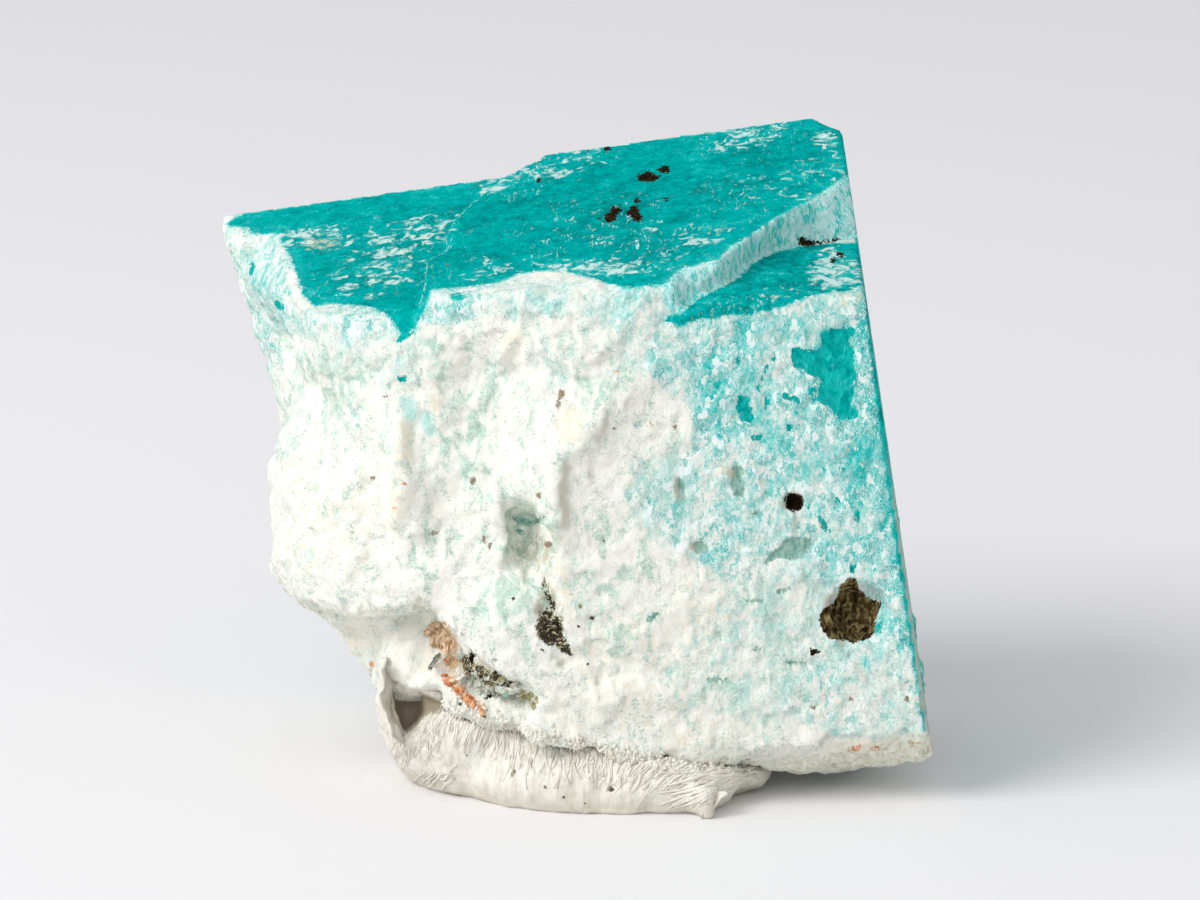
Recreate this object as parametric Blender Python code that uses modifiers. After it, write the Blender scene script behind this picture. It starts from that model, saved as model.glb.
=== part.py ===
"""Rough amazonite crystal pressed into a lump of white mounting putty. Metres, +Z up.

The crystal is a leaning block of feldspar with flat prism faces at the top, the front right, the right
and the back, a rough white crust over the rest, and a broken base. Its shape is worked out in its own
frame: x across, y to the back, z up its prism edges. Lengths in the tables are millimetres.
"""

import math

import bmesh
import bpy
from mathutils import Matrix, Vector, noise

MM = 0.001

# How the crystal stands: height of its own origin above the floor, and its lean in degrees
CRYSTAL_HEIGHT = 25.0
LEAN_LEFT = 8.0
PITCH_FORWARD = 10.0

# Outer faces of the rough block: turn from the front, rise above level (degrees), distance (mm)
BLOCK_FACES = {
    "top": (0.0, 90.0, 14.8),
    "front right": (4.0, 10.0, 13.5),
    "front left": (-15.7, 17.0, 12.6),
    "front brow": (-8.0, 50.0, 16.1),
    "right": (89.3, 0.0, 20.8),
    "left": (-72.0, -6.0, 17.8),
    "back": (180.0, -10.0, 16.8),
    "base": (-90.0, -80.0, 21.9),
    "base left": (-60.0, -67.0, 20.4),
    "base right": (90.0, -72.0, 28.7),
    "base front": (0.0, -38.0, 24.6),
    "base back": (170.0, -40.0, 22.6),
}

# Flat crystal faces, which trim the rough block
FLAT_FACES = {
    "top": (0.0, 90.0, 14.0),
    "front right": (4.0, 10.0, 12.94),
    "right": (89.3, 0.8, 20.05),
    "right front edge": (48.0, 5.0, 23.75),
    "right rear corner": (118.6, 0.0, 24.8),
    "back": (180.0, -10.0, 16.1),
}

# Relief of the front: x, z, half width, half height, turn in degrees, height (hollows are negative)
FRONT_RELIEF = [
    (-1.0, 12.2, 3.4, 4.4, 0, 1.3),
    (1.6, 6.6, 5.0, 1.8, 35, 0.7),
    (-2.8, 1.6, 1.8, 5.2, 0, 0.9),
    (-7.4, 5.6, 4.2, 6.4, 0, -1.5),
    (-5.7, -2.9, 2.7, 3.4, 0, -3.2),
    (-16.2, 7.6, 3.0, 5.4, 0, -0.9),
    (-13.8, 1.4, 1.5, 5.6, 6, 1.0),
    (-10.4, -1.6, 2.0, 4.2, 10, -0.8),
    (-20.4, -1.2, 4.6, 7.4, 0, 1.8),
    (-15.8, -5.4, 4.6, 3.6, 0, 0.9),
    (-17.0, -11.4, 5.0, 2.9, -12, -2.4),
    (-8.8, -9.6, 3.3, 4.4, 12, 1.3),
    (-12.0, -16.0, 4.5, 2.6, -30, -1.0),
    (-1.6, -13.0, 3.4, 5.0, 0, -0.9),
]

# Grooves of the front: half width, depth, and the x, z points they run through
FRONT_GROOVES = [
    (1.3, 2.0, [(-19.0, -8.6), (-15.0, -9.3), (-13.2, -8.4)]),
    (1.5, 2.6, [(-13.4, -8.6), (-12.6, -11.2), (-10.8, -13.0), (-7.6, -14.3)]),
    (1.1, 1.6, [(-5.4, -4.6), (-4.8, -8.6), (-4.4, -11.4)]),
]

# Relief of the left side: y, z, half width, half height, turn, height
LEFT_RELIEF = [
    (-0.5, -6.6, 14.5, 12.5, 0, 5.2),
    (-4.0, -7.4, 8.0, 5.6, 0, 2.2),
    (8.0, 5.5, 6.0, 4.0, 0, -1.0),
    (-3.0, 8.0, 3.0, 5.0, 0, 0.6),
]

# Relief of the back: x, z, half width, half height, turn, height
BACK_RELIEF = [
    (-22.0, 1.0, 7.0, 12.0, 15, -1.9),
    (13.0, -2.0, 3.4, 4.2, 20, -1.7),
    (-9.0, 6.5, 3.0, 1.6, 10, -1.5),
]

# Growth step on the back: how far the lower part stands back, and the step's line (x, z)
BACK_STEP = 1.1
BACK_STEP_LINE = [(26.0, -9.4), (12.6, -7.2), (11.8, -10.1), (3.4, -8.8), (2.2, -4.9), (-9.8, -2.4), (-10.3, 0.9),
                  (-28.0, 4.4)]

# The lower top surface at the left: its height, and the step's line (x, y) from front to back
LOW_TOP = 12.8
STEP_LINE = [(-12.6, -14.0), (-11.6, -10.4), (-10.6, -5.0), (-10.5, 0.6), (-8.8, 2.8), (-8.9, 6.0),
             (-7.3, 11.0), (-4.4, 16.0), (-2.2, 18.0), (-0.4, 21.0)]

# The sloping shoulder broken off the top left: a point on it, and its turn, rise and rear end
SHOULDER_POINT = (-20.6, 6.0, 12.9)
SHOULDER_FACE = (-82.0, 48.0)
SHOULDER_REAR = 13.6

# The notch at the front right: its rim on the top face (x, y) and its foot (x, y, z)
NOTCH_RIM = [(22.0, 8.6), (19.9, 5.9), (17.2, 2.1), (14.3, -0.8), (12.2, -3.6), (10.2, -7.2), (7.5, -8.4), (5.8, -12.5)]
NOTCH_FOOT = [(22.0, 3.6, 10.1), (19.9, 2.9, 10.3), (16.8, 1.8, 10.8), (14.2, -0.2, 11.3), (12.2, -3.2, 11.7),
              (10.2, -6.9, 12.0), (7.6, -8.9, 12.1), (6.0, -12.5, 12.0)]
NOTCH_FRONT = (-20.0, 11.0)

# Pits in the right of the front face: x, z, half width, half height, depth
PITS = [(16.3, -10.9, 2.1, 2.3, 1.9), (12.9, -2.5, 0.75, 0.75, 0.9)]

# Small crystals fused in the crevice and beside the lobe: x, z, thickness, turn in degrees
SMALL_CRYSTALS = [
    (-13.2, -9.2, 1.0, 5), (-12.5, -10.8, 1.3, 20), (-11.7, -12.2, 1.4, 65), (-10.3, -13.1, 1.5, 110),
    (-9.0, -13.7, 1.4, 35), (-7.6, -14.3, 1.2, 80),
    (-5.2, -6.6, 1.0, 50), (-5.0, -8.2, 1.4, 15), (-4.6, -9.8, 1.2, 95),
]

VOXEL = 0.62
CRYSTAL_TRIANGLES = 6400
PUTTY_TRIANGLES = 2000

# Putty, in the floor's frame: centre and half sizes of the blobs that it is pressed from
PUTTY_BLOBS = {
    "pad": ((-0.6, -1.6, 1.8), (11.8, 12.6, 5.4)),
    "left bank": ((-8.4, -2.6, 4.4), (7.4, 8.6, 6.8)),
    "left lip": ((-12.6, -5.0, 6.6), (3.3, 4.6, 4.6)),
    "front roll": ((2.6, -10.6, 1.5), (7.6, 3.7, 2.9)),
    "right web": ((8.0, -6.6, 1.5), (4.2, 4.6, 1.9)),
    "flap": ((7.5, -13.6, 0.9), (1.0, 1.9, 1.5)),
}
POCKET = ((-13.6, -10.2, 6.4), (1.25, 3.4, 2.7))
FOLD_SPACING = 2.3
FOLD_HEIGHT = 0.28
GAP = 0.32

CRYSTAL_NAME = "amazonite_crystal"
PUTTY_NAME = "mounting_putty"


def clear_scene():
    for obj in list(bpy.data.objects):
        bpy.data.objects.remove(obj, do_unlink=True)


def new_collection(name):
    collection = bpy.data.collections.new(name)
    bpy.context.scene.collection.children.link(collection)
    return collection


def direction(turn, rise):
    """Unit vector that looks out of a face: turned from the front (-Y), and raised."""
    turn, rise = math.radians(turn), math.radians(rise)
    return Vector((math.sin(turn) * math.cos(rise), -math.cos(turn) * math.cos(rise), math.sin(rise)))


def cut_by_face(bm, turn, rise, distance):
    """Cuts the closed mesh with one flat face and closes the cut."""
    normal = direction(turn, rise)
    geometry = bm.verts[:] + bm.edges[:] + bm.faces[:]
    cut = bmesh.ops.bisect_plane(
        bm, geom=geometry, dist=1e-7, plane_co=normal * distance * MM, plane_no=normal, clear_outer=True)
    rim = [item for item in cut["geom_cut"] if isinstance(item, bmesh.types.BMEdge)]
    bmesh.ops.holes_fill(bm, edges=rim, sides=0)


def largest_body(bm):
    """Deletes every loose body except the one with the most faces."""
    left = set(bm.faces)
    bodies = []
    while left:
        body, front = set(), [left.pop()]
        while front:
            face = front.pop()
            body.add(face)
            for edge in face.edges:
                for other in edge.link_faces:
                    if other in left:
                        left.discard(other)
                        front.append(other)
        bodies.append(body)
    bodies.sort(key=len)
    for body in bodies[:-1]:
        bmesh.ops.delete(bm, geom=list({vert for face in body for vert in face.verts}), context="VERTS")


def keep_largest(obj):
    bm = bmesh.new()
    bm.from_mesh(obj.data)
    largest_body(bm)
    bm.to_mesh(obj.data)
    bm.free()


def add_object(name, bm, collection):
    mesh = bpy.data.meshes.new(name)
    bm.to_mesh(mesh)
    bm.free()
    obj = bpy.data.objects.new(name, mesh)
    collection.objects.link(obj)
    return obj


def apply_modifiers(obj):
    """Turns the evaluated shape into the object's own mesh."""
    bpy.context.view_layer.update()
    evaluated = obj.evaluated_get(bpy.context.evaluated_depsgraph_get())
    mesh = bpy.data.meshes.new_from_object(evaluated)
    old = obj.data
    obj.modifiers.clear()
    obj.data = mesh
    bpy.data.meshes.remove(old)
    mesh.name = obj.name


def remesh(obj, voxel):
    modifier = obj.modifiers.new("even skin", "REMESH")
    modifier.mode = "VOXEL"
    modifier.voxel_size = voxel * MM
    apply_modifiers(obj)


def thin_out(obj, triangles):
    """Leaves about this many triangles, with fewer where the surface is flat."""
    now = sum(len(polygon.vertices) - 2 for polygon in obj.data.polygons)
    modifier = obj.modifiers.new("fewer facets", "DECIMATE")
    modifier.ratio = min(1.0, triangles / now)
    modifier.use_collapse_triangulate = True
    apply_modifiers(obj)


def boolean(obj, cutter, operation):
    modifier = obj.modifiers.new(cutter.name, "BOOLEAN")
    modifier.operation = operation
    modifier.solver = "EXACT"
    modifier.object = cutter
    apply_modifiers(obj)


def guide(obj):
    obj.hide_render = True
    obj.display_type = "WIRE"
    return obj


def spot_weight(u, v, u0, v0, half_u, half_v, turn):
    """1 in the middle of an oval spot, falling smoothly to 0 at its edge."""
    c, s = math.cos(math.radians(turn)), math.sin(math.radians(turn))
    du, dv = u - u0, v - v0
    across = (c * du + s * dv) / half_u
    along = (c * dv - s * du) / half_v
    reach = across * across + along * along
    return (1.0 - reach) ** 2 * (1.0 + 2.0 * reach) if reach < 1.0 else 0.0


def line_distance(u, v, points):
    """Distance from a point to the nearest stretch of an open line."""
    here = Vector((u, v))
    nearest = 1e9
    for start, end in zip(points, points[1:]):
        start, end = Vector(start), Vector(end)
        run = end - start
        part = max(0.0, min(1.0, (here - start).dot(run) / run.length_squared))
        nearest = min(nearest, (here - start - run * part).length)
    return nearest


def lumps(point, scale, depth=4):
    """Natural unevenness, about -1 to 1, whose largest lumps are `scale` mm across."""
    return noise.fractal(point / scale, 1.0, 2.1, depth, noise_basis="PERLIN_ORIGINAL")


def crystal_shift(point, normal):
    """How far the rough skin moves at a point of the crystal, as a vector in mm."""
    x, y, z = point
    facing_front = max(0.0, -normal.y)
    facing_left = max(0.0, -normal.x)
    facing_back = max(0.0, normal.y)
    facing_down = max(0.0, -normal.z)
    shift = Vector()
    front = sum(height * spot_weight(x, z, *spot) for *spot, height in FRONT_RELIEF)
    for width, depth, points in FRONT_GROOVES:
        across = line_distance(x, z, points) / width
        if across < 1.0:
            front -= depth * (1.0 - across * across) ** 2
    if facing_front > 0.25:
        shift += Vector((0.0, -1.0, 0.0)) * front
    left = sum(height * spot_weight(y, z, *spot) for *spot, height in LEFT_RELIEF)
    shift += Vector((-1.0, 0.0, 0.0)) * left * facing_left
    back = sum(height * spot_weight(x, z, *spot) for *spot, height in BACK_RELIEF)
    shift += Vector((0.0, 1.0, 0.0)) * back * min(1.0, 1.5 * facing_back)
    coarse = 0.7 * lumps(point, 6.0) + 0.35 * lumps(point + Vector((31.0, 7.0, 3.0)), 2.4, 3)
    broken = 1.1 * lumps(point + Vector((5.0, 17.0, 23.0)), 4.2) * (facing_down + 0.3 * facing_left)
    return shift + normal * (coarse * 0.75 + broken)


def crystal_skin(collection):
    """The rough block: cut from a cube, given an even skin and its relief."""
    obj = faced_block(CRYSTAL_NAME, BLOCK_FACES, collection)
    remesh(obj, VOXEL)
    normals = [vertex.normal.copy() for vertex in obj.data.vertices]
    for vertex, normal in zip(obj.data.vertices, normals):
        vertex.co += crystal_shift(vertex.co / MM, normal) * MM
    remesh(obj, VOXEL)
    thin_out(obj, CRYSTAL_TRIANGLES)
    return obj


def faced_block(name, faces, collection):
    """A convex block with the given flat faces, cut from a cube."""
    bm = bmesh.new()
    bmesh.ops.create_cube(bm, size=90 * MM)
    for face in faces.values():
        cut_by_face(bm, *face)
    return add_object(name, bm, collection)


def slab(name, outline, thickness, collection):
    """A flat slab above its own XY plane, with a drawn outline."""
    bm = bmesh.new()
    bottom = bm.faces.new([bm.verts.new(Vector((x, y, 0.0)) * MM) for x, y in outline])
    grown = bmesh.ops.extrude_face_region(bm, geom=[bottom])
    raised = [item for item in grown["geom"] if isinstance(item, bmesh.types.BMVert)]
    bmesh.ops.translate(bm, verts=raised, vec=(0.0, 0.0, thickness * MM))
    bmesh.ops.recalc_face_normals(bm, faces=bm.faces[:])
    return guide(add_object(name, bm, collection))


def low_top_cutter(collection):
    """A slab that lowers the top left of its step line."""
    outline = STEP_LINE + [(-40.0, 21.0), (-40.0, -14.0)]
    obj = slab("low_top_cutter", outline, 6.0, collection)
    obj.location.z = LOW_TOP * MM
    return obj


def back_step_cutter(collection):
    """A slab that lowers the back face below its step line."""
    turn, rise, distance = FLAT_FACES["back"]
    outward = direction(turn, rise)
    outline = [(-x, z) for x, z in BACK_STEP_LINE] + [(40.0, -50.0), (-40.0, -50.0)]
    obj = slab("back_step_cutter", outline, 12.0, collection)
    across = Vector((-1.0, 0.0, 0.0))
    frame = Matrix((across, outward.cross(across), outward)).transposed().to_4x4()
    obj.matrix_world = Matrix.Translation(outward * (distance - BACK_STEP) * MM) @ frame
    return obj


def shoulder_cutter(collection):
    """A tilted slab that takes the corner off the low top at its left, short of the rear."""
    bm = bmesh.new()
    bmesh.ops.create_cube(bm, size=1.0)
    bmesh.ops.scale(bm, vec=Vector((12.0, 40.0, 12.0)) * MM, verts=bm.verts)
    bmesh.ops.translate(bm, vec=Vector((0.0, -20.0, 6.0)) * MM, verts=bm.verts)
    obj = guide(add_object("shoulder_cutter", bm, collection))
    turn, rise = SHOULDER_FACE
    outward = direction(turn, rise)
    back = Vector((-outward.y, outward.x, 0.0)).normalized()
    back *= math.copysign(1.0, back.y)
    across = back.cross(outward)
    frame = Matrix((across, back, outward)).transposed().to_4x4()
    point = Vector(SHOULDER_POINT)
    start = point + back * ((SHOULDER_REAR - point.y) / back.y)
    obj.matrix_world = Matrix.Translation(start * MM) @ frame
    return obj


def notch_cutter(collection):
    """A block lofted from the notch's rim to its foot, open towards the front right."""
    top = 18.0
    rim = [Vector((x, y, top)) for x, y in NOTCH_RIM]
    middle = [Vector((x, y, FLAT_FACES["top"][2])) for x, y in NOTCH_RIM]
    foot = [Vector(point) for point in NOTCH_FOOT]
    front_y, front_z = NOTCH_FRONT
    rows = []
    for row in (rim, middle, foot):
        low = front_z if row is foot else row[0].z
        ends = [Vector((row[-1].x, front_y, low)), Vector((row[0].x, front_y, low))]
        rows.append(row + ends)
    bm = bmesh.new()
    rows = [[bm.verts.new(point * MM) for point in row] for row in rows]
    for upper, lower in zip(rows, rows[1:]):
        count = len(upper)
        for i in range(count):
            j = (i + 1) % count
            bm.faces.new((upper[i], upper[j], lower[j], lower[i]))
    bm.faces.new(rows[0])
    bm.faces.new(rows[-1])
    bmesh.ops.triangulate(bm, faces=bm.faces[:])
    bmesh.ops.recalc_face_normals(bm, faces=bm.faces[:])
    return guide(add_object("notch_cutter", bm, collection))


def front_point(crystal, x, z):
    """Where a line from the front at this x and z meets the crystal."""
    _, point, _, _ = crystal.ray_cast(Vector((x, -60.0, z)) * MM, Vector((0.0, 1.0, 0.0)))
    return point


def pit_cutter(collection, place, number, x, z, half_width, half_height, depth):
    """A lumpy ball sunk into the flat front face."""
    bm = bmesh.new()
    bmesh.ops.create_icosphere(bm, subdivisions=3 if half_width > 1.0 else 2, radius=1.0)
    for vert in bm.verts:
        vert.co *= 1.0 + 0.32 * noise.noise(vert.co * 1.7 + Vector((x, 0.0, z)))
        vert.co = Vector((vert.co.x * half_width, vert.co.y * depth, vert.co.z * half_height)) * MM
    obj = guide(add_object(f"pit_cutter_{number}", bm, collection))
    obj.location = place
    return obj


def small_crystal(collection, place, number, size, turn):
    """A stubby six-sided crystal with a pointed end, mostly buried in the crevice."""
    bm = bmesh.new()
    bmesh.ops.create_cone(
        bm, cap_ends=True, segments=6, radius1=0.5 * size * MM, radius2=0.28 * size * MM, depth=1.5 * size * MM)
    obj = guide(add_object(f"small_crystal_{number}", bm, collection))
    obj.location = place
    obj.rotation_euler = (math.radians(70 + turn % 40), math.radians(turn), math.radians(turn / 2 - 30))
    return obj


def make_crystal(parts, cutters):
    crystal = crystal_skin(parts)
    boolean(crystal, guide(faced_block("flat_faces", FLAT_FACES, cutters)), "INTERSECT")
    bare = guide(crystal.copy())
    bare.data = crystal.data.copy()
    bare.name = "crystal_clearance"
    cutters.objects.link(bare)
    boolean(crystal, low_top_cutter(cutters), "DIFFERENCE")
    boolean(crystal, shoulder_cutter(cutters), "DIFFERENCE")
    boolean(crystal, back_step_cutter(cutters), "DIFFERENCE")
    boolean(crystal, notch_cutter(cutters), "DIFFERENCE")
    for number, pit in enumerate(PITS):
        place = front_point(crystal, *pit[:2])
        boolean(crystal, pit_cutter(cutters, place, number, *pit), "DIFFERENCE")
    for number, (x, z, size, turn) in enumerate(SMALL_CRYSTALS):
        place = front_point(crystal, x, z)
        boolean(crystal, small_crystal(cutters, place, number, size, turn), "UNION")
    keep_largest(crystal)
    for obj in (crystal, bare):
        obj.location = (0.0, 0.0, CRYSTAL_HEIGHT * MM)
        obj.rotation_euler = (math.radians(PITCH_FORWARD), math.radians(-LEAN_LEFT), 0.0)
    for vertex in bare.data.vertices:
        vertex.co += vertex.normal * GAP * MM
    return crystal, bare


def blob(bm, centre, half_sizes, subdivisions=4):
    matrix = Matrix.Translation(Vector(centre) * MM) @ Matrix.Diagonal((*(Vector(half_sizes) * MM), 1.0))
    bmesh.ops.create_icosphere(bm, subdivisions=subdivisions, radius=1.0, matrix=matrix)


def putty_fold(point, normal):
    """Pulled folds that run up the sides of the putty, in mm."""
    side = 1.0 - abs(normal.z)
    around = math.atan2(point.y + 2.0, point.x + 1.0) * 12.0
    wander = 1.2 * lumps(point, 5.0)
    fold = abs(math.sin(math.pi * (around + wander) / FOLD_SPACING))
    return side * FOLD_HEIGHT * (0.6 - fold) + 0.35 * lumps(point + Vector((9.0, 2.0, 4.0)), 3.5)


def make_putty(parts, cutters, clearance):
    bm = bmesh.new()
    for centre, half_sizes in PUTTY_BLOBS.values():
        blob(bm, centre, half_sizes)
    putty = add_object(PUTTY_NAME, bm, parts)
    remesh(putty, VOXEL)
    normals = [vertex.normal.copy() for vertex in putty.data.vertices]
    for vertex, normal in zip(putty.data.vertices, normals):
        vertex.co += normal * putty_fold(vertex.co / MM, normal) * MM
    pocket = bmesh.new()
    blob(pocket, *POCKET, subdivisions=2)
    boolean(putty, guide(add_object("pocket_cutter", pocket, cutters)), "DIFFERENCE")
    thin_out(putty, PUTTY_TRIANGLES * 2)
    boolean(putty, clearance, "DIFFERENCE")
    bm = bmesh.new()
    bm.from_mesh(putty.data)
    cut_by_face(bm, 0.0, -90.0, 0.0)
    largest_body(bm)
    bm.to_mesh(putty.data)
    bm.free()
    return putty


def material(name, colour, roughness):
    made = bpy.data.materials.new(name)
    made.use_nodes = True
    shader = made.node_tree.nodes["Principled BSDF"]
    shader.inputs["Base Color"].default_value = (*colour, 1.0)
    shader.inputs["Roughness"].default_value = roughness
    shader.inputs["Metallic"].default_value = 0.0
    return made


def world_points(obj):
    return [obj.matrix_world @ vertex.co for vertex in obj.data.vertices]


def centre_on_origin(parts, empty):
    """Moves the pair so that their common box is centred on the origin in X and Y."""
    bpy.context.view_layer.update()
    points = [point for obj in parts for point in world_points(obj)]
    for axis in (0, 1):
        values = [point[axis] for point in points]
        empty.location[axis] -= (min(values) + max(values)) / 2


def main():
    clear_scene()
    parts = new_collection("rough_amazonite")
    cutters = new_collection("cutters")
    crystal, clearance = make_crystal(parts, cutters)
    bpy.context.view_layer.update()
    putty = make_putty(parts, cutters, clearance)
    crystal.data.materials.clear()
    crystal.data.materials.append(material("amazonite and white feldspar", (0.35, 0.72, 0.68), 0.55))
    putty.data.materials.clear()
    putty.data.materials.append(material("white mounting putty", (0.80, 0.77, 0.68), 0.6))
    stand = bpy.data.objects.new("stand_point", None)
    parts.objects.link(stand)
    for obj in (crystal, putty):
        obj.parent = stand
    centre_on_origin((crystal, putty), stand)


main()
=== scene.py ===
"""Rough amazonite crystal on its mounting putty: fine relief, finish, and the pale studio it stands in."""

import math
import random

import bmesh
import bpy
import numpy as np
from mathutils import Euler, Matrix, Vector, noise
from mathutils.bvhtree import BVHTree


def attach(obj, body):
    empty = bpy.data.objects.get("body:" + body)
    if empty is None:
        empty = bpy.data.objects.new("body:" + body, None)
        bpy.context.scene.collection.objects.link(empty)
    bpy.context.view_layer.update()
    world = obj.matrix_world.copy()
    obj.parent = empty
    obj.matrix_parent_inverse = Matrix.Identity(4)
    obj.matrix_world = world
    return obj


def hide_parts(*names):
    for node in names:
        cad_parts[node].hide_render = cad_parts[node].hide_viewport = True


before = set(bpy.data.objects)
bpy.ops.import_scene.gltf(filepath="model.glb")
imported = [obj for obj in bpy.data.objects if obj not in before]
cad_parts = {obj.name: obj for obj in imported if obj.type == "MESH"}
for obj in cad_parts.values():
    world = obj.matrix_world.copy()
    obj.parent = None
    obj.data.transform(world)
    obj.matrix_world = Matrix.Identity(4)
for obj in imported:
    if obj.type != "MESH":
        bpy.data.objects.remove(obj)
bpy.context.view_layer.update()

MM = 0.001

# The view: where the camera looks, from how far and how high
VIEW_TARGET = Vector((2.13, -0.43, 23.1)) * MM
VIEW_DISTANCE = 450 * MM
VIEW_ELEVATION = math.radians(13)
FOCAL_LENGTH = 189.0
SENSOR_WIDTH = 36.0
PHOTO_WIDTH, PHOTO_HEIGHT = 1200, 900
PIXELS_FOCAL = FOCAL_LENGTH / SENSOR_WIDTH * PHOTO_WIDTH
MM_PER_PIXEL = VIEW_DISTANCE / PIXELS_FOCAL / MM

# The crystal's own frame: its origin above the floor, and its lean
CRYSTAL_ORIGIN = Vector((2.13, -0.43, 25.0)) * MM
CRYSTAL_TURN = Euler((math.radians(10), math.radians(-8), 0.0))

# Mesh sizes in millimetres
CRYSTAL_VOXEL = 0.25
CRYSTAL_TRIANGLES = 192000
PUTTY_VOXEL = 0.17
FLAT_FACET_AREA = 4.8
ROUGH_FACET_AREA = 1.8

rng = random.Random(11)


# View and photo places

def view_axes():
    forward = Vector((0.0, math.cos(VIEW_ELEVATION), -math.sin(VIEW_ELEVATION)))
    right = Vector((1.0, 0.0, 0.0))
    return right, right.cross(forward), forward


RIGHT, UP, FORWARD = view_axes()
EYE = VIEW_TARGET - FORWARD * VIEW_DISTANCE


def to_photo(points):
    """Photo pixels of an array of points."""
    offset = points - np.array(EYE)
    depth = offset @ np.array(FORWARD)
    x = PHOTO_WIDTH / 2 + PIXELS_FOCAL * (offset @ np.array(RIGHT)) / depth
    y = PHOTO_HEIGHT / 2 - PIXELS_FOCAL * (offset @ np.array(UP)) / depth
    return np.stack((x, y), axis=1)


def photo_ray(x, y):
    across = (x - PHOTO_WIDTH / 2) / PIXELS_FOCAL
    down = (y - PHOTO_HEIGHT / 2) / PIXELS_FOCAL
    return (FORWARD + RIGHT * across - UP * down).normalized()


def polygon_depth(points, outline):
    """Signed distance in mm from photo points to an outline's edge: positive inside it."""
    corners = np.array(outline, float)
    nearest = np.full(len(points), 1e9)
    inside = np.zeros(len(points), bool)
    for start, end in zip(corners, np.roll(corners, -1, axis=0)):
        run = end - start
        part = np.clip(((points - start) @ run) / (run @ run), 0, 1)
        gap = points - start - part[:, None] * run
        nearest = np.minimum(nearest, np.hypot(gap[:, 0], gap[:, 1]))
        crosses = (start[1] > points[:, 1]) != (end[1] > points[:, 1])
        if run[1] != 0:
            at = start[0] + (points[:, 1] - start[1]) * run[0] / run[1]
            inside ^= crosses & (points[:, 0] < at)
    return np.where(inside, nearest, -nearest) * MM_PER_PIXEL


def line_gap(points, line):
    """Distance in mm from photo points to an open line."""
    corners = np.array(line, float)
    nearest = np.full(len(points), 1e9)
    for start, end in zip(corners, corners[1:]):
        run = end - start
        part = np.clip(((points - start) @ run) / (run @ run), 0, 1)
        gap = points - start - part[:, None] * run
        nearest = np.minimum(nearest, np.hypot(gap[:, 0], gap[:, 1]))
    return nearest * MM_PER_PIXEL


def oval(points, x, y, half_x, half_y, turn=0.0):
    """1 in the middle of an oval, falling to 0 at its edge."""
    c, s = math.cos(math.radians(turn)), math.sin(math.radians(turn))
    dx, dy = points[:, 0] - x, points[:, 1] - y
    reach = ((c * dx + s * dy) / half_x) ** 2 + ((c * dy - s * dx) / half_y) ** 2
    return np.where(reach < 1, (1 - np.minimum(reach, 1)) ** 2 * (1 + 2 * reach), 0.0)


def ease(low, high, value):
    t = np.clip((value - low) / (high - low), 0, 1)
    return t * t * (3 - 2 * t)


# Outlines in photo pixels

TOP_TEAL = [
    (222, 226), (236, 216), (268, 205), (300, 200), (338, 195), (404, 186), (480, 176), (512, 171),
    (524, 165), (546, 153), (575, 147), (640, 135), (750, 118), (821, 112), (850, 124), (856, 150),
    (856, 186), (846, 177), (816, 198), (795, 209), (775, 219), (750, 237), (733, 246), (720, 260),
    (681, 271), (664, 285), (632, 288), (612, 285), (590, 278), (566, 272), (540, 271), (520, 274),
    (498, 283), (462, 288), (431, 290), (426, 308), (416, 329), (404, 338), (396, 342), (400, 333),
    (390, 318), (376, 309), (361, 306), (330, 304), (315, 307), (303, 296), (296, 276), (290, 258),
    (276, 233), (262, 235), (250, 234), (248, 228),
]
RISER = [
    (862, 170), (846, 177), (816, 198), (795, 209), (775, 219), (750, 237), (733, 246), (720, 260),
    (681, 271), (664, 285), (666, 318), (681, 313), (699, 297), (722, 287), (740, 276), (759, 258),
    (779, 251), (800, 246), (837, 239), (866, 237),
]
NOTCH_FLOOR = [
    (779, 251), (800, 246), (837, 243), (864, 244), (867, 280), (852, 291), (826, 293), (806, 297),
    (785, 306), (760, 313), (728, 316), (700, 320), (682, 326), (664, 322), (668, 314), (681, 313),
    (699, 297), (722, 287), (740, 276), (759, 258),
]
BEVEL = [(760, 768), (783, 758), (834, 752), (871, 742), (903, 734), (936, 731), (940, 800), (740, 800)]
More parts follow.
